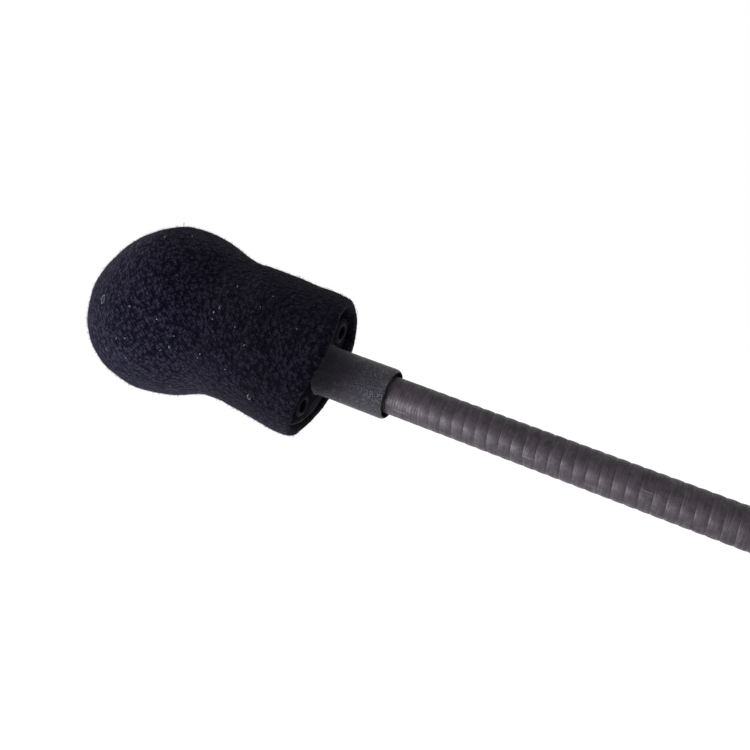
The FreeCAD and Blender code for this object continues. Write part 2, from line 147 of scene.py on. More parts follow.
floor_mesh = bpy.data.meshes.new("floor")
FLOOR = 8.0
floor_mesh.from_pydata([(-FLOOR, -FLOOR, 0), (FLOOR, -FLOOR, 0), (FLOOR, FLOOR, 0),
                        (-FLOOR, FLOOR, 0)], [], [(0, 1, 2, 3)])
floor = bpy.data.objects.new("floor", floor_mesh)
scene.collection.objects.link(floor)
floor_paper = bpy.data.materials.new("white paper")
floor_paper.use_nodes = True
paper = floor_paper.node_tree.nodes["Principled BSDF"]
paper.inputs["Base Color"].default_value = (0.86, 0.86, 0.86, 1)
paper.inputs["Roughness"].default_value = 0.9
paper.inputs["Emission Color"].default_value = (1, 1, 1, 1)
paper.inputs["Emission Strength"].default_value = 0.16
floor_mesh.materials.append(floor_paper)


def soft_light(name, place, aim, size, watts):
    """A square soft box that the camera doesn't see."""
    data = bpy.data.lights.new(name, "AREA")
    data.size = size
    data.energy = watts
    lamp = bpy.data.objects.new(name, data)
    scene.collection.objects.link(lamp)
    lamp.location = place
    lamp.rotation_euler = (aim - place).to_track_quat("-Z", "Y").to_euler()
    lamp.visible_camera = False
    return lamp


subject = HEAD @ Vector((0, 0, 12 * MM))
view_way = turn @ Vector((0, 0, 1))
KEY_BELOW = math.radians(52)            # below the line to the lens, round the neck's own line
KEY_NOSEWARD = math.radians(30)         # towards the nose, so that the bulb catches most of it
KEY_DISTANCE = 0.75
KEY_SIZE = 0.60                         # metres across
KEY_POWER = 30.0                        # watts
down = view_way.cross(head_way).normalized()
facing = head_way.cross(down)
key_way = (facing * math.cos(KEY_BELOW) + down * math.sin(KEY_BELOW)) * math.cos(KEY_NOSEWARD)
key_way += head_way * math.sin(KEY_NOSEWARD)
soft_light("low front", subject + key_way * KEY_DISTANCE, subject, KEY_SIZE, KEY_POWER)

# %% [markdown]
# ## Tools for making a piece
#
# A piece starts as a coarse cage or an outline, and a stack of modifiers finishes it. The stack is
# applied at the piece's own origin, and only then is the mesh moved to its place, so that its
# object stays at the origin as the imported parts' objects do.

# %% Tools for making a piece


def new_piece(name, points, faces=(), edges=()):
    """A mesh object from a cage or an outline."""
    mesh = bpy.data.meshes.new(name)
    mesh.from_pydata([tuple(p) for p in points], list(edges), list(faces))
    mesh.update()
    piece = bpy.data.objects.new(name, mesh)
    scene.collection.objects.link(piece)
    return piece


def outline(name, points):
    """An open outline in the XZ plane, as (radius, height) in millimetres, for a Screw."""
    places = [(r * MM, 0, z * MM) for r, z in points]
    return new_piece(name, places, edges=[(i, i + 1) for i in range(len(points) - 1)])


def apply_stack(piece, place=None):
    """Make the modifiers' result the piece's own mesh, facing outwards, and move it to its place."""
    bpy.context.view_layer.update()
    graph = bpy.context.evaluated_depsgraph_get()
    mesh = bpy.data.meshes.new_from_object(piece.evaluated_get(graph), depsgraph=graph)
    piece.modifiers.clear()
    piece.data = mesh
    work = bmesh.new()
    work.from_mesh(mesh)
    if work.calc_volume(signed=True) < 0:
        bmesh.ops.reverse_faces(work, faces=work.faces[:])
        work.to_mesh(mesh)
    work.free()
    if place is not None:
        mesh.transform(place)
    mesh.name = piece.name
    return piece


def smooth(piece, angle=40):
    """Smooth shading, with edges sharper than the angle kept crisp."""
    piece.data.shade_smooth()
    piece.data.set_sharp_from_angle(angle=math.radians(angle))
    return piece


def lathe(piece, steps=96):
    """Turn an outline about Z."""
    screw = piece.modifiers.new("turn", "SCREW")
    screw.axis = "Z"
    screw.steps = screw.render_steps = steps
    screw.use_merge_vertices = True
    screw.merge_threshold = 0.002 * MM
    screw.use_normal_calculate = True
    return screw


def subdivide(piece, levels):
    finer = piece.modifiers.new("finer", "SUBSURF")
    finer.levels = finer.render_levels = levels
    return finer


def lumps(piece, name, size, strength, kind="CLOUDS"):
    """Push the surface in and out by a solid texture of that grain size, in millimetres."""
    texture = bpy.data.textures.new(name, kind)
    texture.noise_scale = size * MM
    push = piece.modifiers.new(name, "DISPLACE")
    push.texture = texture
    push.texture_coords = "LOCAL"
    push.mid_level = 0.5
    push.strength = strength * MM
    return push


# %% [markdown]
# ## Finish: the knit cloth
#
# The sock is a black jersey with a short pile. Close up it is a mottle of loops half a millimetre
# across with dark gaps between, in courses round the bulb that lean a little, and its colour
# leans to violet. The courses and wales are two waves, one along the head and one round it; a
# Voronoi pattern breaks their rows into single loops, as brushing does. The same pattern drives
# colour and bump, and a little sheen gives the soft pale edge that pile has.
# Behind the ball the colour is also darkened towards the rim, as a painted shade.

# %% Finish: the knit cloth
WALES = 128                 # columns of loops round the bulb
COURSE = 0.95               # millimetres from one row of loops to the next


def knit_cloth(name, gap, loop):
    """gap and loop are the colours between the loops and on their crowns."""
    material = bpy.data.materials.new(name)
    material.use_nodes = True
    nodes, links = material.node_tree.nodes, material.node_tree.links
    cloth = nodes["Principled BSDF"]
    cloth.label = "pile"
    cloth.inputs["Roughness"].default_value = 0.95
    cloth.inputs["Specular IOR Level"].default_value = 0.03
    cloth.inputs["Specular Tint"].default_value = (0.7, 0.65, 1.0, 1)
    cloth.inputs["Sheen Weight"].default_value = 0.035
    cloth.inputs["Sheen Roughness"].default_value = 0.45
    cloth.inputs["Sheen Tint"].default_value = (0.80, 0.78, 1.0, 1)

    place = nodes.new("ShaderNodeTexCoord")
    place.label = "place on the sock"
    place.location = (-2000, 0)
    upright_sock = nodes.new("ShaderNodeMapping")
    upright_sock.label = "stand the head's line on Z"
    upright_sock.location = (-1800, 200)
    upright_sock.vector_type = "TEXTURE"
    upright_sock.inputs["Location"].default_value = HEAD.translation
    upright_sock.inputs["Rotation"].default_value = HEAD.to_euler()
    split = nodes.new("ShaderNodeSeparateXYZ")
    split.label = "along and across"
    split.location = (-1600, 200)

    rows_frame = nodes.new("NodeFrame")
    rows_frame.label = "courses and wales"
    angle = nodes.new("ShaderNodeMath")
    angle.label = "angle round the head"
    angle.location = (-1400, 300)
    angle.operation = "ARCTAN2"
    wale = nodes.new("ShaderNodeMath")
    wale.label = "wales"
    wale.location = (-1200, 300)
    wale.operation = "MULTIPLY"
    wale.inputs[1].default_value = WALES
    wander = nodes.new("ShaderNodeTexNoise")
    wander.label = "rows wander"
    wander.location = (-1600, -100)
    wander.inputs["Scale"].default_value = 160
    wander.inputs["Detail"].default_value = 3
    course = nodes.new("ShaderNodeMath")
    course.label = "courses"
    course.location = (-1400, 100)
    course.operation = "MULTIPLY"
    course.inputs[1].default_value = 2 * math.pi / (COURSE * MM)
    drift = nodes.new("ShaderNodeMath")
    drift.label = "by up to a loop or two"
    drift.location = (-1400, -100)
    drift.operation = "MULTIPLY"
    drift.inputs[1].default_value = 16
    leaned = nodes.new("ShaderNodeMath")
    leaned.label = "courses wander"
    leaned.location = (-1200, 100)
    leaned.operation = "ADD"
    slant = nodes.new("ShaderNodeMath")
    slant.label = "courses lean"
    slant.location = (-1000, 100)
    slant.operation = "MULTIPLY_ADD"
    slant.inputs[1].default_value = 3.0
    row_wave = nodes.new("ShaderNodeMath")
    row_wave.label = "row wave"
    row_wave.location = (-800, 100)
    row_wave.operation = "SINE"
    wale_wave = nodes.new("ShaderNodeMath")
    wale_wave.label = "column wave"
    wale_wave.location = (-800, 300)
    wale_wave.operation = "SINE"
    stitches = nodes.new("ShaderNodeMath")
    stitches.label = "loops in rows"
    stitches.location = (-600, 200)
    stitches.operation = "MULTIPLY"
    for node in (angle, wale, wander, course, drift, leaned, slant, row_wave, wale_wave, stitches):
        node.parent = rows_frame

    brushed_frame = nodes.new("NodeFrame")
    brushed_frame.label = "brushed pile"
    loops = nodes.new("ShaderNodeTexVoronoi")
    loops.label = "single loops"
    loops.location = (-800, -150)
    loops.feature = "SMOOTH_F1"
    loops.inputs["Scale"].default_value = 1100
    loops.inputs["Smoothness"].default_value = 0.25
    fuzz = nodes.new("ShaderNodeTexNoise")
    fuzz.label = "pile fuzz"
    fuzz.location = (-800, -400)
    fuzz.inputs["Scale"].default_value = 1300
    fuzz.inputs["Detail"].default_value = 3
    fuzz.inputs["Roughness"].default_value = 0.7
    crown = nodes.new("ShaderNodeMath")
    crown.label = "crowns of loops"
    crown.location = (-600, -150)
    crown.operation = "MULTIPLY_ADD"
    crown.inputs[1].default_value = -0.62
    height = nodes.new("ShaderNodeMath")
    height.label = "pile height"
    height.location = (-400, 0)
    height.operation = "MULTIPLY_ADD"
    height.inputs[1].default_value = 0.09
    for node in (loops, fuzz, crown, height):
        node.parent = brushed_frame

    patches = nodes.new("ShaderNodeTexNoise")
    patches.label = "brushed patches"
    patches.location = (-600, 500)
    patches.inputs["Scale"].default_value = 75
    patches.inputs["Detail"].default_value = 4
    lift = nodes.new("ShaderNodeMapRange")
    lift.label = "how brushed"
    lift.location = (-400, 500)
    lift.inputs["From Min"].default_value = 0.3
    lift.inputs["From Max"].default_value = 0.7
    lift.inputs["To Min"].default_value = 0.8
    lift.inputs["To Max"].default_value = 1.25
    shades = nodes.new("ShaderNodeValToRGB")
    shades.label = "gap to loop"
    shades.location = (-200, 150)
    shades.color_ramp.elements[0].position = 0.10
    shades.color_ramp.elements[0].color = (*gap, 1)
    shades.color_ramp.elements[1].position = 0.42
    shades.color_ramp.elements[1].color = (*loop, 1)
    tone = nodes.new("ShaderNodeVectorMath")
    tone.label = "shade each patch"
    tone.location = (100, 250)
    tone.operation = "SCALE"
    # Painted shade: the cloth's colour is halved from 30 mm ahead of the boot's end back to the rim,
    # and rises to full over the ball.
    stretch = nodes.new("ShaderNodeMapRange")
    stretch.label = "painted shade towards the rim"
    stretch.location = (-400, 750)
    stretch.interpolation_type = "SMOOTHSTEP"
    stretch.inputs["From Min"].default_value = 30 * MM
    stretch.inputs["From Max"].default_value = 52 * MM
    stretch.inputs["To Min"].default_value = 0.5
    stretch.inputs["To Max"].default_value = 1.0
    both = nodes.new("ShaderNodeMath")
    both.label = "brushed, and painted shade"
    both.location = (-100, 500)
    both.operation = "MULTIPLY"
    relief = nodes.new("ShaderNodeBump")
    relief.label = "pile relief"
    relief.location = (-200, -250)
    relief.inputs["Strength"].default_value = 1.0
    relief.inputs["Distance"].default_value = 0.5 * MM

    links.new(place.outputs["Object"], upright_sock.inputs["Vector"])
    links.new(upright_sock.outputs["Vector"], split.inputs["Vector"])
    links.new(split.outputs["Y"], angle.inputs[0])
    links.new(split.outputs["X"], angle.inputs[1])
    links.new(angle.outputs["Value"], wale.inputs[0])
    links.new(wale.outputs["Value"], wale_wave.inputs[0])
    links.new(split.outputs["Z"], course.inputs[0])
    links.new(place.outputs["Object"], wander.inputs["Vector"])
    links.new(wander.outputs["Fac"], drift.inputs[0])
    links.new(course.outputs["Value"], leaned.inputs[0])
    links.new(drift.outputs["Value"], leaned.inputs[1])
    links.new(angle.outputs["Value"], slant.inputs[0])
    links.new(leaned.outputs["Value"], slant.inputs[2])
    links.new(slant.outputs["Value"], row_wave.inputs[0])
    links.new(row_wave.outputs["Value"], stitches.inputs[0])
    links.new(wale_wave.outputs["Value"], stitches.inputs[1])
    links.new(place.outputs["Object"], loops.inputs["Vector"])
    links.new(place.outputs["Object"], fuzz.inputs["Vector"])
    links.new(loops.outputs["Distance"], crown.inputs[0])
    links.new(fuzz.outputs["Fac"], crown.inputs[2])
    links.new(stitches.outputs["Value"], height.inputs[0])
    links.new(crown.outputs["Value"], height.inputs[2])
    links.new(place.outputs["Object"], patches.inputs["Vector"])
    links.new(patches.outputs["Fac"], lift.inputs["Value"])
    links.new(height.outputs["Value"], shades.inputs["Fac"])
    links.new(shades.outputs["Color"], tone.inputs[0])
    links.new(split.outputs["Z"], stretch.inputs["Value"])
    links.new(lift.outputs["Result"], both.inputs[0])
    links.new(stretch.outputs["Result"], both.inputs[1])
    links.new(both.outputs["Value"], tone.inputs["Scale"])
    links.new(tone.outputs["Vector"], cloth.inputs["Base Color"])
    links.new(height.outputs["Value"], relief.inputs["Height"])
    links.new(relief.outputs["Normal"], cloth.inputs["Normal"])
    return material


sock_cloth = knit_cloth("windscreen knit", (0.0006, 0.0006, 0.0028), (0.0110, 0.0100, 0.0195))
print("finish:", sock_cloth.name)

# %% [markdown]
# ## The windscreen's sock
#
# The sock is cut like a finger stall, pulled over the foam bulb and turned in at the rear rim. A
# coarse cage of rings holds its form. Each ring has its own lift, because the bulb sags: its back
# is nearly straight while its underside is waisted. It was pulled on a little crooked, so its rim
# hangs further back on one side, and sixteen numbers round the rim say by how much. The cage runs
# round the rim and back up inside, so the cloth has a thickness and no open edge. Subdivision
# rounds it, and Displace lays in soft dents and the unevenness of the pile.

# %% The windscreen's sock
RING_SIDES = 16
# Subdivision draws a 16-sided ring in by this share, so the cage is made that much larger.
RING_SHRINK = (4 + 2 * math.cos(2 * math.pi / RING_SIDES)) / 6
BALL_T, BALL_R, NOSE_T = 57.0, 19.5, 75.0
# From the ball's widest ring back to the rim: distance ahead of the boot's end, radius, lift, and
# how much of the rim's crookedness it shares. The dome's lifts let the nose droop.
SOCK_SIDE = [(52.8, 19.2, 0.9, 0), (49.0, 18.5, 1.1, 0), (45.3, 17.2, 1.3, 0),
             (41.6, 15.95, 1.5, 0), (38.6, 15.6, 1.45, 0), (34.0, 15.9, 1.25, 0),
             (30.0, 16.0, 0.95, 0.1), (26.0, 16.05, 0.65, 0.3), (22.4, 16.2, 0.35, 0.6),
             (19.0, 16.45, 0.15, 0.9), (17.5, 16.25, 0.1, 1), (17.1, 15.5, 0, 1)]
SOCK_DOME = [(BALL_T + (NOSE_T - BALL_T) * math.sin(math.radians(a)),
              BALL_R * math.cos(math.radians(a)) - trim, lift, 0)
             for a, lift, trim in ((76, -2.9, 0.45), (60, -2.75, 0.7), (43, -1.95, 0.7),
                                   (27, -0.75, 0.5), (12, 0.3, 0.2), (0, 0.7, 0))]
SOCK_INSIDE = [(17.3, 14.3, 0, 1), (18.6, 13.8, 0, 0.8), (21.0, 14.4, 0.1, 0.4),
               (39.0, 14.6, 1.2, 0), (55.0, 18.0, 0.6, 0), (68.0, 12.0, -0.8, 0)]
RIM_HANG = [-5.4, -6.1, -5.6, -3.8, -2.1, -1.3, -0.4, 0.1, 0.7, 1.2, 1.8, 2.0, 1.5, 0.3, -1.4, -2.9]
PINCH = 0.15                # how far the rim draws in for each millimetre that it hangs back


def ring_cage(name, rings, nose_t, inner_t, hang=None):
    """A closed cage of a pole, rings and a pole. Rings are (height, radius, lift, hang's share)."""
    points = [(0, rings[0][2] * MM, nose_t * MM)]
    for t, r, up, share in rings:
        for i in range(RING_SIDES):
            round_by = 2 * math.pi * i / RING_SIDES
            drop = share * hang[i] if hang else 0
            reach = (r + PINCH * min(drop, 0)) * MM / RING_SHRINK
            points.append((reach * math.cos(round_by), reach * math.sin(round_by) + up * MM,
                           (t + drop) * MM))
    points.append((0, rings[-1][2] * MM, inner_t * MM))
    faces = []
    last = 1 + (len(rings) - 1) * RING_SIDES
    for i in range(RING_SIDES):
        j = (i + 1) % RING_SIDES
        faces.append((0, 1 + i, 1 + j))
        faces.append((last + j, last + i, len(points) - 1))
        for a in range(1, last, RING_SIDES):
            faces.append((a + i, a + i + RING_SIDES, a + j + RING_SIDES, a + j))
    return new_piece(name, points, faces)


sock = ring_cage("windscreen_sock", SOCK_DOME + SOCK_SIDE + SOCK_INSIDE, NOSE_T + 0.25, 73.5,
                 RIM_HANG)
subdivide(sock, 2)
apply_stack(sock)
print("sock cage", len(sock.data.polygons))

# %% [markdown]
# ## Let the sock settle on the foam
#
# Foam pushes a knit sock out evenly, and the knit gives where it is not held, so its surface is
# never quite true. A short cloth simulation does this: pressure from within, with the inside and
# the turned-in rim held. It runs at ten times the size, where the solver is steady, and no point
# may move further than a cap. The result is made the sock's own mesh.

# %% Let the sock settle on the foam
SIM_SCALE, SIM_FRAMES, SETTLE_CAP = 10, 20, 0.55 * MM


def settle(piece):
    """Run the cloth on a piece at its own origin, and keep where its points come to rest."""
    count = len(piece.data.vertices)
    before = np.empty(count * 3, np.float32)
    piece.data.vertices.foreach_get("co", before)
    before = before.reshape(-1, 3)
    reach = np.hypot(before[:, 0], before[:, 1])
    held = piece.vertex_groups.new(name="held")
    for i in range(count):
        inside = reach[i] < 15.35 * MM and before[i, 2] < 44 * MM
        inside = inside or (reach[i] < 18.2 * MM and 44 * MM <= before[i, 2] < 56 * MM)
        inside = inside or (before[i, 2] >= 56 * MM and Vector(before[i] - np.array(
            [0, 0, 56 * MM])).length < 17.6 * MM)
        if inside or before[i, 2] < 21 * MM:
            held.add([i], 1.0, "REPLACE")
    piece.data.transform(Matrix.Scale(SIM_SCALE, 4))
    cloth = piece.modifiers.new("knit", "CLOTH")
    cloth.settings.quality = 6
    cloth.settings.mass = 0.15
    cloth.settings.tension_stiffness = cloth.settings.compression_stiffness = 8
    cloth.settings.bending_stiffness = 0.4
    cloth.settings.use_pressure = True
    cloth.settings.uniform_pressure_force = 3.0
    cloth.settings.vertex_group_mass = "held"
    cloth.settings.effector_weights.gravity = 0
    cloth.point_cache.frame_start, cloth.point_cache.frame_end = 1, SIM_FRAMES
    for number in range(1, SIM_FRAMES + 1):
        scene.frame_set(number)
    graph = bpy.context.evaluated_depsgraph_get()
    settled = piece.evaluated_get(graph).to_mesh()
    after = np.empty(count * 3, np.float32)
    settled.vertices.foreach_get("co", after)
    piece.evaluated_get(graph).to_mesh_clear()
    piece.modifiers.clear()
    piece.vertex_groups.clear()
    scene.frame_set(1)
    move = after.reshape(-1, 3) / SIM_SCALE - before
    far = np.linalg.norm(move, axis=1)
    move *= np.minimum(1, SETTLE_CAP / np.maximum(far, 1e-9))[:, None]
    piece.data.vertices.foreach_set("co", (before + move).ravel())
    piece.data.update()
    print("sock settled: moved up to %.2f mm" % (min(far.max(), SETTLE_CAP) / MM))


settle(sock)
subdivide(sock, 2)
lumps(sock, "soft dents", 9, 0.8)
lumps(sock, "uneven pile", 0.75, 0.17)
apply_stack(sock, HEAD)
sock.data.shade_smooth()
sock.data.materials.append(sock_cloth)
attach(sock, "windscreen")
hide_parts("fabric_cover", "hem_band")
print("sock faces", len(sock.data.polygons))

# %% [markdown]
# ## Pile and lint
#
# Jersey sheds a halo of short fibres, and without them its outline looks like rubber. Each fibre
# is a thin blade of three faces that leans over the cloth. They are set on faces of the sock
# chosen evenly by area, and all are one piece. Lint is a scatter of tiny pale flecks made the
# same way.

# %% Pile and lint
draw = np.random.default_rng(11)


def places_on(piece, count, outside_only=True):
    """Points spread evenly over a piece, with the surface's direction at each."""
    mesh = piece.data
    n = len(mesh.polygons)
    centre, normal, area = np.empty(n * 3), np.empty(n * 3), np.empty(n)
    mesh.polygons.foreach_get("center", centre)
    mesh.polygons.foreach_get("normal", normal)
    mesh.polygons.foreach_get("area", area)
    centre, normal = centre.reshape(-1, 3), normal.reshape(-1, 3)
    if outside_only:
        back = np.array(HEAD.inverted())
        local = centre @ back[:3, :3].T + back[:3, 3]
        local_normal = normal @ back[:3, :3].T
        outward = (local[:, :2] * local_normal[:, :2]).sum(1) > -0.2 * MM
        area = area * (outward | (local[:, 2] > 60 * MM))
    picked = draw.choice(n, size=count, p=area / area.sum())
    return centre[picked], normal[picked]


def blades(name, roots, normals, lengths, width, lean):
    """Thin leaning blades, each bent once, as one piece."""
    count = len(roots)
    side = np.cross(normals, draw.normal(size=(count, 3)))
    side /= np.linalg.norm(side, axis=1)[:, None]
    over = np.cross(side, normals)
    lean = lean * draw.uniform(0.5, 1.5, size=(count, 1))
    middle = roots + (normals * 0.55 + over * 0.25 * lean) * lengths[:, None]
    tip = roots + (normals * 0.8 + over * lean) * lengths[:, None]
    base = roots - normals * 0.08 * MM
    points = np.stack([base - side * width, base + side * width, middle + side * width * 0.8,
                       middle - side * width * 0.8, tip], axis=1).reshape(-1, 3)
    faces = []
    for k in range(0, 5 * count, 5):
        faces += [(k, k + 1, k + 2, k + 3), (k + 3, k + 2, k + 4)]
    return new_piece(name, points.tolist(), faces)


PILE_COUNT, LINT_COUNT = 22000, 150
roots, normals = places_on(sock, PILE_COUNT)
pile = blades("windscreen_pile", roots, normals, draw.uniform(0.22, 0.7, PILE_COUNT) * MM,
              0.02 * MM, 0.8)
pile.data.materials.append(sock_cloth)
roots, normals = places_on(sock, LINT_COUNT)
lint = blades("windscreen_lint", roots, normals, draw.uniform(0.15, 0.40, LINT_COUNT) * MM,
              0.055 * MM, 1.6)
for piece in (pile, lint):
    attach(piece, "windscreen")
print("pile faces", len(pile.data.polygons))

# %% [markdown]
# ## Fluff and the frayed corner
#
# A few threads are big enough to see one by one: a curl of fluff by the nose, another under the
# waist, a tuft that stands on the back, and loose ends of knitting yarn where the turned-in edge
# has frayed. Each is a short smooth curve with a round bevel, laid on the sock.

# %% Fluff and the frayed corner


def on_sock(round_deg, t, above=0.0):
    """A point on the sock at an angle round the head's line and a distance along it."""
    angle = math.radians(round_deg)
    way = Vector((math.cos(angle), math.sin(angle), 0))
    turn_to = HEAD.to_3x3()
    start = HEAD @ (way * 40 * MM + Vector((0, 0, t * MM)))
    found, spot, normal, face = sock.ray_cast(start, turn_to @ -way)
    if not found:
        raise RuntimeError("no sock at %g degrees, %g mm" % (round_deg, t))
    return spot + normal * above * MM


def threads(name, runs, thickness):
    """Fine round threads through the given points, as one mesh."""
    curve = bpy.data.curves.new(name, "CURVE")
    curve.dimensions = "3D"
    curve.bevel_depth = thickness * MM / 2
    curve.bevel_resolution = 1
    curve.resolution_u = 5
    for run in runs:
        spline = curve.splines.new("NURBS")
        spline.points.add(len(run) - 1)
        for point, place in zip(spline.points, run):
            point.co = (*place, 1)
        spline.order_u = 3
        spline.use_endpoint_u = True
        spline.use_cyclic_u = False
    curve.use_fill_caps = True
    shape = bpy.data.objects.new(name, curve)
    scene.collection.objects.link(shape)
    bpy.context.view_layer.update()
    mesh = bpy.data.meshes.new_from_object(
        shape.evaluated_get(bpy.context.evaluated_depsgraph_get()))
    bpy.data.objects.remove(shape)
    piece = bpy.data.objects.new(name, mesh)
    mesh.name = name
    scene.collection.objects.link(piece)
    mesh.shade_smooth()
    return piece


def curl(round_deg, t, reach, turns_round, above=0.12):
    """A curl of fluff that lies on the sock."""
    run = []
    for i in range(9):
        a = turns_round * 2 * math.pi * i / 8
        grow = reach * (0.75 + 0.25 * math.cos(2 * a))
        run.append(on_sock(round_deg + math.degrees(grow * math.cos(a) / 17),
                           t + grow * math.sin(a) * 0.8, above + 0.10 * (i % 3)))
    return run


def stray(round_deg, t, way, length):
    """A loose end that leaves the sock along way, in the head's frame, and hooks over."""
    start = on_sock(round_deg, t, -0.1)
    along = HEAD.to_3x3() @ Vector(way).normalized() * length * MM
    hook = along.cross(HEAD.to_3x3() @ Vector((0.3, 0.5, 0.8))).normalized() * length * 0.3 * MM
    return [start, start + along * 0.4, start + along * 0.8 + hook * 0.4, start + along + hook]


fluff = threads("windscreen_fluff", [curl(4.5, 61.4, 0.95, 0.93), curl(-29.5, 24.7, 0.7, 0.8),
                                     curl(28, 36, 0.4, 0.7), curl(-12, 44.5, 0.3, 0.8)], 0.05)
fray = threads("frayed_yarn", [
    stray(-100, 18.9, (0.2, -0.7, -1.0), 2.6), stray(-84, 18.2, (0.1, -1.0, -0.35), 1.3),
    stray(-76, 17.4, (0.3, -0.8, -0.5), 1.1), stray(-92, 19.5, (-0.1, -1.0, -0.2), 0.9),
    stray(-68, 17.2, (0.4, -0.9, -0.2), 0.8), stray(79, 56.6, (-0.1, 1.0, 0.2), 1.3),
    stray(81, 56.0, (0.1, 1.0, -0.3), 0.8), stray(76, 57.2, (0.2, 1.0, 0.4), 0.7)], 0.12)
for piece in (fluff, fray):
    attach(piece, "windscreen")
print("threads", len(fluff.data.polygons), len(fray.data.polygons))

# %% [markdown]
# ## The foam under the sock
#
# The bulb is open-cell foam with a round bore that the head pushes into. Its skin follows the
# sock's inside, a little smaller, and its surface is pitted by the cells.

# %% The foam under the sock
FOAM_SIDE = [(67.5, 13.0, 0.75, 0), (55.0, 17.4, 0.8, 0), (46.0, 16.0, 1.1, 0),
             (39.0, 14.35, 0.7, 0), (30.0, 14.6, 0.5, 0), (21.0, 14.35, 0.1, 0),
             (19.6, 14.0, 0, 0), (19.5, 13.5, 0, 0), (20.2, 13.35, 0, 0), (38.0, 13.35, 0, 0),
             (52.0, 13.35, 0, 0), (60.0, 10.5, 0, 0)]
foam = ring_cage("windscreen_foam", FOAM_SIDE, 74.0, 64.0)
subdivide(foam, 3)
lumps(foam, "foam cells", 0.6, 0.25)
apply_stack(foam, HEAD)
foam.data.shade_smooth()
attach(foam, "windscreen")
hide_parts("foam_windscreen")
print("foam faces", len(foam.data.polygons))

# %% [markdown]
# ## The neck's winding
#
# A gooseneck is two wires wound together, and what shows is the outer one: flat bands with a dark
# groove between turns, rising 2.5 mm a turn to the right. One band's outline swept by a Screw
# with a rise gives the whole winding, upright. Each point is then carried onto the neck's bent
# line. The winding is cut at the middle of each link, so that each length is centred on its own
# pivot.

# %% The neck's winding
TURN_RISE = 2.48
NECK_R = 4.0
BORE_R = 2.4
TAIL_IN_BASE = 14.0
TAIL_IN_BOOT = 12.0
# A band is a little crowned, so its middle stands proudest: share across the band, and depth.
BAND = [(0.0, 0.15), (0.04, 0.10), (0.09, 0.075), (0.18, 0.048), (0.32, 0.016), (0.5, 0.0),
        (0.68, 0.016), (0.82, 0.048), (0.91, 0.075), (0.96, 0.10), (1.0, 0.15)]

turns = math.ceil((neck_length / MM + TAIL_IN_BASE + TAIL_IN_BOOT) / TURN_RISE) + 3
winding = outline("winding", [(NECK_R - deep, TURN_RISE * (1 - share)) for share, deep in BAND])
wind = lathe(winding, 40)
wind.iterations = turns
wind.screw_offset = TURN_RISE * MM
apply_stack(winding)
bore = outline("bore", [(BORE_R, TURN_RISE * (turns - i / 2)) for i in range(2 * turns + 1)])
lathe(bore, 24)
apply_stack(bore)
bore.data.flip_normals()
with bpy.context.temp_override(active_object=winding, selected_editable_objects=[winding, bore]):
    bpy.ops.object.join()
print("winding: %d turns, %d faces" % (turns, len(winding.data.polygons)))

# %% Carry the winding onto the neck's line, and cut it into lengths


def carry(mesh):
    """Move an upright mesh, whose Z counts along the neck, onto the neck's bent line."""
    flat = np.empty(len(mesh.vertices) * 3, np.float32)
    mesh.vertices.foreach_get("co", flat)
    flat = flat.reshape(-1, 3).astype(float)
    p = flat[:, 2]
    lean = np.clip((p - upright) / BEND_RADIUS, 0, lean_all)
    past = np.clip(p - bend_end, 0, None)
    c, s = np.cos(lean), np.sin(lean)
    y = -BEND_RADIUS * (1 - c) - past * s + flat[:, 1] * c
    z = neck_start + np.minimum(p, upright) + BEND_RADIUS * s + past * c + flat[:, 1] * s
    moved = np.stack([flat[:, 0], y, z], axis=1).astype(np.float32)
    mesh.vertices.foreach_set("co", moved.ravel())
    mesh.update()


def keep_between(mesh, low, high):
    """Cut a mesh off square below low and above high, and close the wall where it is cut."""
    work = bmesh.new()
    work.from_mesh(mesh)
    for z, way in ((low, -1), (high, 1)):
        bmesh.ops.bisect_plane(work, geom=work.verts[:] + work.edges[:] + work.faces[:],
                               dist=1e-7, plane_co=(0, 0, z), plane_no=(0, 0, way),
                               clear_outer=True)
        rims = [edge for edge in work.edges if edge.is_boundary
                and all(abs(v.co.z - z) < 1e-6 for v in edge.verts)]
        if rims:
            bmesh.ops.bridge_loops(work, edges=rims)
    work.to_mesh(mesh)
    work.free()


def close_up(mesh):
    """Press the turns flush near the boot, where the neck was swaged to grip."""
    flat = np.empty(len(mesh.vertices) * 3, np.float32)
    mesh.vertices.foreach_get("co", flat)
    flat = flat.reshape(-1, 3)
    reach = np.hypot(flat[:, 0], flat[:, 1])
    pressed = np.clip((flat[:, 2] - (neck_length - 16 * MM)) / (10 * MM), 0, 1) * 0.72
    outside = reach > 3 * MM
    target = reach + (NECK_R * MM - reach) * pressed
    share = np.where(outside, target / np.maximum(reach, 1e-9), 1)
    flat[:, :2] *= share[:, None]
    mesh.vertices.foreach_set("co", flat.ravel())


step = 2 * half_step
winding.data.transform(Matrix.Translation((0, 0, -(TAIL_IN_BASE + 2.5) * MM)))
neck_lengths = []
for k in range(NECK_JOINTS):
    low = -TAIL_IN_BASE * MM if k == 0 else k * step
    high = neck_length + TAIL_IN_BOOT * MM if k == NECK_JOINTS - 1 else (k + 1) * step
    mesh = winding.data.copy()
    keep_between(mesh, low, high)
    piece = bpy.data.objects.new("neck_winding_%02d" % (k + 1), mesh)
    mesh.name = piece.name
    scene.collection.objects.link(piece)
    upright_place = mesh.attributes.new("upright_place", "FLOAT_VECTOR", "POINT")
    where = np.empty(len(mesh.vertices) * 3, np.float32)
    mesh.vertices.foreach_get("co", where)
    upright_place.data.foreach_set("vector", where)
    close_up(mesh)
    carry(mesh)
    smooth(piece, 60)
    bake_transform(piece)
    hidden = ["neck_coil_%02d" % (k + 1)]
    if k == NECK_JOINTS - 1:
        hidden.append("neck_coil_%02d" % (k + 2))
    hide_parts(*hidden)
    neck_lengths.append(piece)
bpy.data.objects.remove(winding)
print("neck lengths", [len(piece.data.polygons) for piece in neck_lengths])
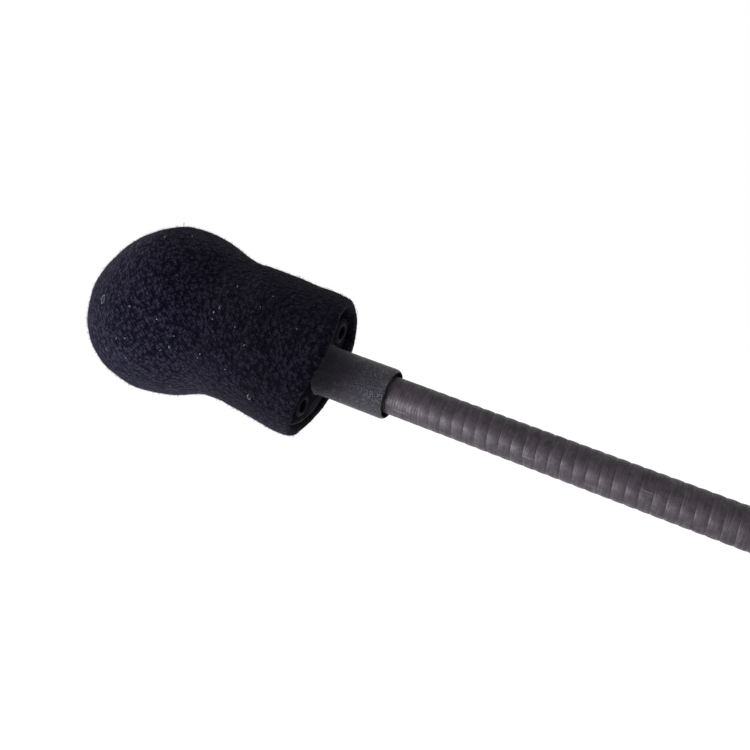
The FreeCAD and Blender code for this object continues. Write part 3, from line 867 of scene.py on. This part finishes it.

# %% [markdown]
# ## Finish: the blackened winding
#
# The band is steel with a dull, dark chemical black on it. It was drawn through a die before it
# was wound, so fine scratches run along the band, round the neck. A few handling scratches cross
# the turns. Where the neck was swaged for the boot, tighter marks ring it. The pattern reads the
# upright place kept on each point, so it runs on unbroken over the cuts and the bend.

# %% Finish: the blackened winding


def blackened_winding(name):
    material = bpy.data.materials.new(name)
    material.use_nodes = True
    nodes, links = material.node_tree.nodes, material.node_tree.links
    steel = nodes["Principled BSDF"]
    steel.label = "blackened steel"
    steel.inputs["Specular IOR Level"].default_value = 0.24
    steel.inputs["Specular Tint"].default_value = (0.95, 0.90, 1.0, 1)

    place = nodes.new("ShaderNodeAttribute")
    place.label = "upright place"
    place.location = (-1500, 0)
    place.attribute_name = "upright_place"

    drawn_frame = nodes.new("NodeFrame")
    drawn_frame.label = "die marks round the band"
    stretch = nodes.new("ShaderNodeMapping")
    stretch.label = "draw out round the neck"
    stretch.location = (-1200, 300)
    stretch.inputs["Scale"].default_value = (220, 220, 6500)
    marks = nodes.new("ShaderNodeTexNoise")
    marks.label = "die marks"
    marks.location = (-1000, 300)
    marks.inputs["Scale"].default_value = 1.0
    marks.inputs["Detail"].default_value = 5
    marks.inputs["Roughness"].default_value = 0.6
    for node in (stretch, marks):
        node.parent = drawn_frame

    swage_frame = nodes.new("NodeFrame")
    swage_frame.label = "swage rings by the boot"
    along = nodes.new("ShaderNodeSeparateXYZ")
    along.label = "how far along"
    along.location = (-1200, 600)
    near_boot = nodes.new("ShaderNodeMapRange")
    near_boot.label = "only near the boot"
    near_boot.location = (-1000, 700)
    near_boot.interpolation_type = "SMOOTHSTEP"
    near_boot.inputs["From Min"].default_value = neck_length - 13 * MM
    near_boot.inputs["From Max"].default_value = neck_length - 4 * MM
    near_boot.inputs["To Max"].default_value = 0.8
    rings = nodes.new("ShaderNodeMath")
    rings.label = "rings"
    rings.location = (-1000, 500)
    rings.operation = "PINGPONG"
    rings.inputs[1].default_value = 0.31 * MM
    scaled = nodes.new("ShaderNodeMath")
    scaled.label = "as a height"
    scaled.location = (-800, 500)
    scaled.operation = "MULTIPLY"
    scaled.inputs[1].default_value = 1 / (0.31 * MM)
    swage = nodes.new("ShaderNodeMath")
    swage.label = "swage rings"
    swage.location = (-600, 600)
    swage.operation = "MULTIPLY"
    for node in (along, near_boot, rings, scaled, swage):
        node.parent = swage_frame

    mottle_frame = nodes.new("NodeFrame")
    mottle_frame.label = "mottle of the black"
    mottle = nodes.new("ShaderNodeTexNoise")
    mottle.label = "mottle"
    mottle.location = (-1000, 0)
    mottle.inputs["Scale"].default_value = 620
    mottle.inputs["Detail"].default_value = 7
    mottle.inputs["Roughness"].default_value = 0.72
    mottle.parent = mottle_frame

    scratch_frame = nodes.new("NodeFrame")
    scratch_frame.label = "handling scratches"
    twist = nodes.new("ShaderNodeMapping")
    twist.label = "lean the scratches"
    twist.location = (-1200, -300)
    twist.inputs["Rotation"].default_value = (0.5, 0.35, 0.2)
    twist.inputs["Scale"].default_value = (300, 3200, 70)
    scratches = nodes.new("ShaderNodeTexNoise")
    scratches.label = "scratch lines"
    scratches.location = (-1000, -300)
    scratches.inputs["Scale"].default_value = 1.0
    scratches.inputs["Detail"].default_value = 1
    thin = nodes.new("ShaderNodeMapRange")
    thin.label = "keep only the strongest"
    thin.location = (-800, -300)
    thin.inputs["From Min"].default_value = 0.73
    thin.inputs["From Max"].default_value = 0.79
    for node in (twist, scratches, thin):
        node.parent = scratch_frame

    both = nodes.new("ShaderNodeMath")
    both.label = "marks and mottle"
    both.location = (-700, 150)
    both.operation = "MULTIPLY"
    height = nodes.new("ShaderNodeMath")
    height.label = "with swage rings"
    height.location = (-500, 250)
    height.operation = "MULTIPLY_ADD"
    height.inputs[1].default_value = 0.3
    shades = nodes.new("ShaderNodeValToRGB")
    shades.label = "dull to rubbed"
    shades.location = (-400, 50)
    shades.color_ramp.elements[0].position = 0.15
    shades.color_ramp.elements[0].color = (0.0075, 0.0054, 0.0080, 1)
    shades.color_ramp.elements[1].position = 0.38
    shades.color_ramp.elements[1].color = (0.032, 0.026, 0.031, 1)
    lit = nodes.new("ShaderNodeMixRGB")
    lit.label = "bare metal in scratches"
    lit.location = (-100, 150)
    lit.inputs["Color2"].default_value = (0.20, 0.19, 0.20, 1)
    rough = nodes.new("ShaderNodeMapRange")
    rough.label = "gloss from the marks"
    rough.location = (-400, -200)
    rough.inputs["From Min"].default_value = 0.15
    rough.inputs["From Max"].default_value = 0.4
    rough.inputs["To Min"].default_value = 0.60
    rough.inputs["To Max"].default_value = 0.30
    relief = nodes.new("ShaderNodeBump")
    relief.label = "scratch relief"
    relief.location = (-400, -450)
    relief.inputs["Strength"].default_value = 0.9
    relief.inputs["Distance"].default_value = 0.12 * MM

    links.new(place.outputs["Vector"], stretch.inputs["Vector"])
    links.new(stretch.outputs["Vector"], marks.inputs["Vector"])
    links.new(place.outputs["Vector"], along.inputs["Vector"])
    links.new(along.outputs["Z"], near_boot.inputs["Value"])
    links.new(along.outputs["Z"], rings.inputs[0])
    links.new(rings.outputs["Value"], scaled.inputs[0])
    links.new(near_boot.outputs["Result"], swage.inputs[0])
    links.new(scaled.outputs["Value"], swage.inputs[1])
    links.new(place.outputs["Vector"], mottle.inputs["Vector"])
    links.new(place.outputs["Vector"], twist.inputs["Vector"])
    links.new(twist.outputs["Vector"], scratches.inputs["Vector"])
    links.new(scratches.outputs["Fac"], thin.inputs["Value"])
    links.new(marks.outputs["Fac"], both.inputs[0])
    links.new(mottle.outputs["Fac"], both.inputs[1])
    links.new(swage.outputs["Value"], height.inputs[0])
    links.new(both.outputs["Value"], height.inputs[2])
    links.new(both.outputs["Value"], shades.inputs["Fac"])
    links.new(shades.outputs["Color"], lit.inputs["Color1"])
    links.new(thin.outputs["Result"], lit.inputs["Fac"])
    links.new(lit.outputs["Color"], steel.inputs["Base Color"])
    links.new(both.outputs["Value"], rough.inputs["Value"])
    links.new(rough.outputs["Result"], steel.inputs["Roughness"])
    links.new(height.outputs["Value"], relief.inputs["Height"])
    links.new(relief.outputs["Normal"], steel.inputs["Normal"])
    return material


neck_black = blackened_winding("blackened neck winding")
for piece in neck_lengths:
    piece.data.materials.append(neck_black)

# %% [markdown]
# ## The boot
#
# The boot is a soft moulding in imitation leather: a round sleeve with a rounded neck end, and a
# flange with two ears whose screws sit deep in smooth-lipped holes. The sleeve and the lips are
# turned outlines. The flange is its outline drawn up as a slab, with its holes cut through. All
# of them are made one skin by remeshing, so that the leather grain runs over every join.

# %% The boot
EAR_ROLL = math.radians(30)
EAR_OFFSET, EAR_R, FLANGE_MID_R = 9.2, 3.4, 6.8
FLANGE_T, FLANGE_FRONT_T = 17.0, 20.45
HOLE_R = 1.42
SLEEVE_SIDE = [(4.12, 2.0), (4.12, 1.3), (4.42, 1.2), (4.5, 0.95), (4.52, 0.45), (4.64, 0.12),
               (4.84, 0.0), (5.08, 0.1), (5.3, 0.42), (5.42, 1.0), (5.42, 15.3), (5.52, 16.0),
               (5.9, 16.75), (6.6, 17.3), (6.6, FLANGE_FRONT_T), (2.5, FLANGE_FRONT_T),
               (2.5, 14.9), (4.62, 14.9), (4.62, 2.0), (4.12, 2.0)]
boot = outline("boot_leather", SLEEVE_SIDE)
lathe(boot, 72)
apply_stack(boot)


def at_ear(side):
    """The place of one ear's hole, above or below the head's axis."""
    return Matrix.Rotation(EAR_ROLL, 4, "Z") @ Matrix.Translation((0, side * EAR_OFFSET * MM, 0))


def flange_slab(name, z1, z2):
    """The flange's outline as a slab: round the middle and round each ear."""
    lean = math.asin((FLANGE_MID_R - EAR_R) / EAR_OFFSET)
    edge = []
    for i in range(25):
        angle = lean + (math.pi - 2 * lean) * i / 24
        edge.append((EAR_R * math.cos(angle), EAR_OFFSET + EAR_R * math.sin(angle)))
    for i in range(7):
        angle = math.pi - lean + 2 * lean * i / 6
        edge.append((FLANGE_MID_R * math.cos(angle), FLANGE_MID_R * math.sin(angle)))
    edge += [(-x, -y) for x, y in edge]
    n = len(edge)
    points = [(x * MM, y * MM, z * MM) for z in (z1, z2) for x, y in edge]
    faces = [tuple(range(n))[::-1], tuple(range(n, 2 * n))]
    faces += [(i, (i + 1) % n, n + (i + 1) % n, n + i) for i in range(n)]
    slab = new_piece(name, points, faces)
    slab.data.transform(Matrix.Rotation(EAR_ROLL, 4, "Z"))
    return slab


parts = [boot, flange_slab("flange", FLANGE_T, FLANGE_FRONT_T)]
LIP = [(HOLE_R, 17.2), (HOLE_R + 0.04, 16.78), (HOLE_R + 0.25, 16.62), (HOLE_R + 0.6, 16.66),
       (HOLE_R + 0.9, 16.9), (HOLE_R + 1.0, 17.2), (HOLE_R, 17.2)]
for side in (1, -1):
    lip = outline("lip", LIP)
    lathe(lip, 40)
    apply_stack(lip, at_ear(side))
    parts.append(lip)
with bpy.context.temp_override(active_object=boot, selected_editable_objects=parts):
    bpy.ops.object.join()
drills = []
for side in (1, -1):
    drill = outline("drill", [(0, 10), (HOLE_R, 10), (HOLE_R, 19.25), (0, 19.25)])
    lathe(drill, 40)
    apply_stack(drill, at_ear(side))
    drills.append(drill)
skin = boot.modifiers.new("one skin", "REMESH")
skin.mode = "VOXEL"
skin.voxel_size = 0.16 * MM
for drill in drills:
    hole = boot.modifiers.new("screw hole", "BOOLEAN")
    hole.operation = "DIFFERENCE"
    hole.object = drill
soften = boot.modifiers.new("moulded corners", "SMOOTH")
soften.factor = 0.5
soften.iterations = 3
lumps(boot, "leather grain", 0.34, 0.085, "VORONOI")
apply_stack(boot, HEAD)
for drill in drills:
    bpy.data.objects.remove(drill)
smooth(boot, 70)
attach(boot, "head")
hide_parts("boot")
print("boot faces", len(boot.data.polygons))

# %% [markdown]
# ## Finish: the boot's leather grain
#
# The moulding copies a pebbled hide: low rounded grains a third of a millimetre across, parted by
# creases. The crowns are polished by handling and the creases hold dust and stay dull.

# %% Finish: the boot's leather grain


def leather_grain(name):
    material = bpy.data.materials.new(name)
    material.use_nodes = True
    nodes, links = material.node_tree.nodes, material.node_tree.links
    hide = nodes["Principled BSDF"]
    hide.label = "moulded hide"
    hide.inputs["Specular IOR Level"].default_value = 0.46
    hide.inputs["Specular Tint"].default_value = (0.93, 0.88, 1.0, 1)

    place = nodes.new("ShaderNodeTexCoord")
    place.label = "place on the boot"
    place.location = (-1100, 0)
    grain_frame = nodes.new("NodeFrame")
    grain_frame.label = "pebbles and creases"
    pebbles = nodes.new("ShaderNodeTexVoronoi")
    pebbles.label = "pebbles"
    pebbles.location = (-850, 150)
    pebbles.feature = "DISTANCE_TO_EDGE"
    pebbles.inputs["Scale"].default_value = 3300
    creases = nodes.new("ShaderNodeMapRange")
    creases.label = "round each pebble"
    creases.location = (-650, 150)
    creases.interpolation_type = "SMOOTHSTEP"
    creases.inputs["From Max"].default_value = 0.3
    fine = nodes.new("ShaderNodeTexNoise")
    fine.label = "pores"
    fine.location = (-850, -150)
    fine.inputs["Scale"].default_value = 6000
    fine.inputs["Detail"].default_value = 3
    height = nodes.new("ShaderNodeMath")
    height.label = "grain height"
    height.location = (-450, 50)
    height.operation = "MULTIPLY_ADD"
    height.inputs[1].default_value = 0.5
    for node in (pebbles, creases, fine, height):
        node.parent = grain_frame
    handled = nodes.new("ShaderNodeTexNoise")
    handled.label = "handled patches"
    handled.location = (-850, 420)
    handled.inputs["Scale"].default_value = 190
    handled.inputs["Detail"].default_value = 4
    dusty = nodes.new("ShaderNodeMapRange")
    dusty.label = "how dusty"
    dusty.location = (-650, 420)
    dusty.inputs["From Min"].default_value = 0.3
    dusty.inputs["From Max"].default_value = 0.7
    dusty.inputs["To Min"].default_value = 0.75
    dusty.inputs["To Max"].default_value = 1.2
    shades = nodes.new("ShaderNodeValToRGB")
    shades.label = "crease to crown"
    shades.location = (-250, 150)
    shades.color_ramp.elements[0].position = 0.2
    shades.color_ramp.elements[0].color = (0.0035, 0.0034, 0.0056, 1)
    shades.color_ramp.elements[1].position = 1.1 / 1.2
    shades.color_ramp.elements[1].color = (0.0165, 0.0150, 0.0235, 1)
    tone = nodes.new("ShaderNodeVectorMath")
    tone.label = "rubbed and dusty patches"
    tone.location = (0, 250)
    tone.operation = "SCALE"
    gloss = nodes.new("ShaderNodeMapRange")
    gloss.label = "polished crowns"
    gloss.location = (-250, -100)
    gloss.inputs["To Min"].default_value = 0.60
    gloss.inputs["To Max"].default_value = 0.19
    relief = nodes.new("ShaderNodeBump")
    relief.label = "grain relief"
    relief.location = (-250, -300)
    relief.inputs["Strength"].default_value = 1.0
    relief.inputs["Distance"].default_value = 0.25 * MM

    links.new(place.outputs["Object"], pebbles.inputs["Vector"])
    links.new(place.outputs["Object"], fine.inputs["Vector"])
    links.new(place.outputs["Object"], handled.inputs["Vector"])
    links.new(pebbles.outputs["Distance"], creases.inputs["Value"])
    links.new(fine.outputs["Fac"], height.inputs[0])
    links.new(creases.outputs["Result"], height.inputs[2])
    links.new(height.outputs["Value"], shades.inputs["Fac"])
    links.new(height.outputs["Value"], gloss.inputs["Value"])
    links.new(height.outputs["Value"], relief.inputs["Height"])
    links.new(handled.outputs["Fac"], dusty.inputs["Value"])
    links.new(shades.outputs["Color"], tone.inputs[0])
    links.new(dusty.outputs["Result"], tone.inputs["Scale"])
    links.new(tone.outputs["Vector"], hide.inputs["Base Color"])
    links.new(gloss.outputs["Result"], hide.inputs["Roughness"])
    links.new(relief.outputs["Normal"], hide.inputs["Normal"])
    return material


boot.data.materials.append(leather_grain("grained boot"))

# %% [markdown]
# ## Finishes of the hard parts
#
# The coated metal, the mouldings, rubber, plating, brass and board differ in numbers but are made
# up the same way: a fine grain that lifts the surface, larger patches where hands or dust change
# the shade, and gloss that follows both. One function makes them all.

# %% Finishes of the hard parts


def hard_finish(name, colour, worn, metallic, rough, grain_mm, depth_mm, patch_mm=9.0, shine=0.3):
    """A finish whose grain and patches are that wide. worn is the colour where it is rubbed."""
    material = bpy.data.materials.new(name)
    material.use_nodes = True
    nodes, links = material.node_tree.nodes, material.node_tree.links
    surface = nodes["Principled BSDF"]
    surface.label = "surface"
    surface.inputs["Metallic"].default_value = metallic
    surface.inputs["Specular IOR Level"].default_value = 0.5 if metallic else shine

    place = nodes.new("ShaderNodeTexCoord")
    place.label = "place on the part"
    place.location = (-1000, 0)
    grain = nodes.new("ShaderNodeTexNoise")
    grain.label = "grain"
    grain.location = (-800, -200)
    grain.inputs["Scale"].default_value = 1 / (grain_mm * MM)
    grain.inputs["Detail"].default_value = 3
    patches = nodes.new("ShaderNodeTexNoise")
    patches.label = "rubbed patches"
    patches.location = (-800, 200)
    patches.inputs["Scale"].default_value = 1 / (patch_mm * MM)
    patches.inputs["Detail"].default_value = 7
    patches.inputs["Roughness"].default_value = 0.65
    wear_frame = nodes.new("NodeFrame")
    wear_frame.label = "wear"
    shades = nodes.new("ShaderNodeValToRGB")
    shades.label = "sound to worn"
    shades.location = (-550, 250)
    shades.color_ramp.elements[0].position = 0.42
    shades.color_ramp.elements[0].color = (*colour, 1)
    shades.color_ramp.elements[1].position = 0.72
    shades.color_ramp.elements[1].color = (*worn, 1)
    gloss = nodes.new("ShaderNodeMapRange")
    gloss.label = "gloss"
    gloss.location = (-550, 0)
    gloss.inputs["From Min"].default_value = 0.3
    gloss.inputs["From Max"].default_value = 0.7
    gloss.inputs["To Min"].default_value = min(rough + 0.12, 1)
    gloss.inputs["To Max"].default_value = max(rough - 0.1, 0.05)
    for node in (shades, gloss):
        node.parent = wear_frame
    relief = nodes.new("ShaderNodeBump")
    relief.label = "grain relief"
    relief.location = (-550, -250)
    relief.inputs["Strength"].default_value = 0.6
    relief.inputs["Distance"].default_value = depth_mm * MM

    links.new(place.outputs["Object"], grain.inputs["Vector"])
    links.new(place.outputs["Object"], patches.inputs["Vector"])
    links.new(patches.outputs["Fac"], shades.inputs["Fac"])
    links.new(patches.outputs["Fac"], gloss.inputs["Value"])
    links.new(shades.outputs["Color"], surface.inputs["Base Color"])
    links.new(gloss.outputs["Result"], surface.inputs["Roughness"])
    links.new(grain.outputs["Fac"], relief.inputs["Height"])
    links.new(relief.outputs["Normal"], surface.inputs["Normal"])
    return material


coated_metal = hard_finish("satin black coating", (0.011, 0.011, 0.012), (0.022, 0.022, 0.023),
                           0.0, 0.42, 0.22, 0.03)
# Black plastic made near-black and navy: partly the plate's own black, partly a painted shade on the
# rear plate.
moulding = hard_finish("black moulding in painted shade", (0.003, 0.003, 0.006), (0.006, 0.006, 0.010),
                       0.0, 0.75, 0.12, 0.012, shine=0.02)
rubber = hard_finish("isolator rubber", (0.010, 0.010, 0.010), (0.026, 0.025, 0.024),
                     0.0, 0.82, 0.3, 0.03, 5)
screw_black = hard_finish("oiled black screws", (0.018, 0.017, 0.017), (0.10, 0.098, 0.095),
                          0.8, 0.38, 0.1, 0.01, 1.2)
shell_black = hard_finish("connector shell", (0.014, 0.014, 0.016), (0.024, 0.024, 0.026),
                          0.0, 0.5, 0.15, 0.015)
silvered = hard_finish("silvered contacts", (0.80, 0.79, 0.76), (0.55, 0.50, 0.42),
                       1.0, 0.24, 0.08, 0.004, 1.5)
board_green = hard_finish("circuit board", (0.012, 0.060, 0.026), (0.020, 0.085, 0.035),
                          0.0, 0.45, 0.5, 0.02, 2)
part_grey = hard_finish("board components", (0.03, 0.03, 0.032), (0.09, 0.085, 0.07),
                        0.0, 0.5, 0.1, 0.01, 2)
brass = hard_finish("plain brass", (0.60, 0.43, 0.17), (0.42, 0.28, 0.10),
                    1.0, 0.32, 0.09, 0.006, 3)
lead_black = hard_finish("lead jacket", (0.020, 0.020, 0.022), (0.04, 0.04, 0.042),
                         0.0, 0.6, 0.12, 0.01, 3)
bright_steel = hard_finish("grille wire", (0.30, 0.30, 0.31), (0.42, 0.41, 0.40),
                           1.0, 0.33, 0.06, 0.004, 4)
felt_grey = hard_finish("acoustic felt", (0.045, 0.043, 0.042), (0.075, 0.072, 0.07),
                        0.0, 0.97, 0.18, 0.09, 2)
mount_rubber = hard_finish("capsule rubber", (0.014, 0.014, 0.014), (0.03, 0.03, 0.03),
                           0.0, 0.75, 0.2, 0.02, 4)
can_metal = hard_finish("capsule metal", (0.66, 0.66, 0.65), (0.52, 0.51, 0.49),
                        1.0, 0.3, 0.07, 0.005, 3)
film = hard_finish("diaphragm film", (0.72, 0.62, 0.34), (0.62, 0.52, 0.27),
                   0.9, 0.2, 0.3, 0.002, 4)
white_moulding = hard_finish("white moulding", (0.72, 0.71, 0.67), (0.62, 0.60, 0.55),
                             0.0, 0.5, 0.1, 0.008, 3)
foam_grey = hard_finish("windscreen foam", (0.016, 0.016, 0.018), (0.032, 0.031, 0.034),
                        0.0, 0.95, 0.35, 0.2, 3)
# Painted shade: the flange is a smooth, dull moulding, and its near-black colour stands for the
# shade on it.
flange_and_mouth_painted_shade = hard_finish("boot flange and mouth in painted shade", (0.002, 0.002, 0.0035), (0.004, 0.004, 0.006),
                           0.0, 0.8, 0.1, 0.01, shine=0.02)
lip_grey = hard_finish("hole lips", (0.006, 0.0055, 0.010), (0.011, 0.010, 0.016),
                       0.0, 0.6, 0.1, 0.01, shine=0.04)
lint_pale = hard_finish("pale lint", (0.16, 0.16, 0.18), (0.34, 0.34, 0.36),
                        0.0, 0.9, 0.1, 0.01, 1)
foam.data.materials.append(foam_grey)
lint.data.materials.append(lint_pale)
fluff.data.materials.append(lint_pale)
fray.data.materials.append(sock_cloth)

# The flange and the inside of the boot's mouth are given a painted shade: a near-black, dull copy of
# the boot's moulding. The lips of the holes keep a lighter grey, so they read as catching the light
# against it.
boot.data.materials.append(flange_and_mouth_painted_shade)
boot.data.materials.append(lip_grey)
to_head = HEAD.inverted()
for face in boot.data.polygons:
    spot = to_head @ face.center
    # Painted shade: faces of the flange and inside the mouth take the near-black copy.
    if spot.z > 16.2 * MM or spot.xy.length < 4.97 * MM:
        face.material_index = 1
    for side in (1, -1):
        away = (at_ear(side).inverted() @ spot).to_2d().length
        if spot.z < 17.3 * MM and HOLE_R * MM * 0.98 < away < (HOLE_R + 1.0) * MM:
            face.material_index = 2

# %% [markdown]
# ## The guard over the capsule
#
# Under the foam a woven wire guard protects the capsule. A grid of quads on a short cylinder with
# a domed nose is turned to wire by the Wireframe modifier.

# %% The guard over the capsule
GUARD = [(12.2, 41.3), (12.2, 43.1), (12.2, 44.9), (12.2, 46.7), (12.2, 48.5), (12.2, 50.3),
         (12.1, 52.0), (11.75, 53.8), (11.1, 55.5), (10.2, 57.1), (9.0, 58.5), (7.6, 59.7),
         (6.0, 60.6), (4.2, 61.2), (2.3, 61.55), (0.35, 61.65)]
guard = outline("grille_guard", GUARD)
lathe(guard, 44)
wires = guard.modifiers.new("wires", "WIREFRAME")
wires.thickness = 0.34 * MM
wires.use_even_offset = False
apply_stack(guard, HEAD)
smooth(guard, 50)
guard.data.materials.append(bright_steel)
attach(guard, "head")
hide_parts("grille_basket")
print("guard faces", len(guard.data.polygons))

# %% [markdown]
# ## Felt and rubber in the head
#
# A felt disc damps the space before the capsule, and a ribbed rubber ring grips the capsule's
# back half. Both are soft. Each is a turned outline, and the felt has its own loose surface.

# %% Felt and rubber in the head
felt = outline("felt_disc", [(0, 53.5), (9.5, 53.5), (10.4, 53.6), (10.6, 54.1), (10.3, 54.6),
                             (9.4, 54.75), (0, 54.75)])
lathe(felt, 48)
subdivide(felt, 2)
lumps(felt, "felt fibres", 0.5, 0.16)
apply_stack(felt, HEAD)
smooth(felt, 60)
felt.data.materials.append(felt_grey)
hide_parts("acoustic_felt")
RIBS = [(8.04, 42.1), (11.7, 42.1), (11.95, 42.4), (11.95, 43.2), (11.2, 43.5), (11.2, 44.6),
        (11.95, 44.9), (11.95, 45.9), (11.2, 46.2), (11.2, 47.4), (11.9, 47.8), (11.9, 48.6),
        (11.6, 48.9), (8.04, 48.9), (8.04, 42.1)]
grip = outline("capsule_grip", RIBS)
lathe(grip, 64)
apply_stack(grip, HEAD)
smooth(grip, 45)
grip.data.materials.append(mount_rubber)
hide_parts("capsule_mount")
for piece in (felt, grip):
    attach(piece, "head")
print("felt and grip", len(felt.data.polygons), len(grip.data.polygons))

# %% [markdown]
# ## The lead in the neck
#
# One screened lead runs from the board in the base to the capsule. It is laid on the neck's line
# as the winding was, and cut and bent at the same pivots.

# %% The lead in the neck
LEAD_R = 1.4
LEAD_IN_BASE, LEAD_IN_HEAD = 21.4, 42.7
z_ends = (-LEAD_IN_BASE, neck_length / MM + LEAD_IN_HEAD)
rows = int((z_ends[1] - z_ends[0]) / 1.5)
side = [(LEAD_R, z_ends[0] + (z_ends[1] - z_ends[0]) * i / rows) for i in range(rows + 1)]
lead = outline("lead", [(0, z_ends[0])] + side + [(0, z_ends[1])])
lathe(lead, 20)
apply_stack(lead)
for k in range(NECK_JOINTS):
    low = z_ends[0] * MM if k == 0 else k * step
    high = z_ends[1] * MM if k == NECK_JOINTS - 1 else (k + 1) * step
    mesh = lead.data.copy()
    keep_between(mesh, low, high)
    piece = bpy.data.objects.new("neck_lead_run_%02d" % (k + 1), mesh)
    mesh.name = piece.name
    scene.collection.objects.link(piece)
    carry(mesh)
    smooth(piece, 40)
    mesh.materials.append(lead_black)
    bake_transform(piece)
    hidden = ["base_lead" if k == 0 else "neck_lead_%02d" % k]
    if k == NECK_JOINTS - 1:
        hidden.append("head_lead")
    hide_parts(*hidden)
bpy.data.objects.remove(lead)

# %% [markdown]
# ## The isolator
#
# The base floats in a rubber ring, so that knocks on the lectern don't reach the microphone. Its
# collar stands above the clamp ring with a rolled top, and grooves below it let it give.

# %% The isolator
ISOLATOR = [(11.03, 0.6), (12.6, 0.6), (12.9, 1.5), (13.5, 1.5), (13.8, 0.6), (15.3, 0.6),
            (15.46, 0.9), (15.46, 7.95), (12.2, 7.97), (12.2, 10.3), (12.05, 10.9), (11.7, 11.3),
            (11.3, 11.4), (11.03, 11.2), (11.03, 0.6)]
isolator = outline("isolator_rubber", ISOLATOR)
lathe(isolator, 96)
apply_stack(isolator)
smooth(isolator, 35)
isolator.data.materials.append(rubber)
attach(isolator, "base")
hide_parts("isolator_ring")

# %% [markdown]
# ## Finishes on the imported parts
#
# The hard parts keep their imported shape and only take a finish. Each finish lists the parts that
# wear it.

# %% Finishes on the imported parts
WEARS = {
    coated_metal: ["flange_plate", "base_sleeve", "clamp_ring", "neck_bottom_ferrule"],
    # The rear plate's near-black moulding is partly painted shade.
    moulding: ["rear_plate", "head_housing", "grille_ring"],
    screw_black: ["clamp_screws", "insert_screw", "neck_set_screw", "boot_screws"],
    shell_black: ["xlr_insert"],
    silvered: ["xlr_contacts"],
    board_green: ["preamp_board", "capsule_board"],
    part_grey: ["board_parts"],
    brass: ["neck_top_ferrule", "backplate"],
    can_metal: ["capsule_can"],
    film: ["diaphragm"],
    white_moulding: ["backplate_holder"],
}
for finish, names in WEARS.items():
    for name in names:
        node = frame["nodes"][name]
        for i in range(len(node.data.materials)):
            node.material_slots[i].material = finish
print("finished", sum(len(names) for names in WEARS.values()), "packed parts")
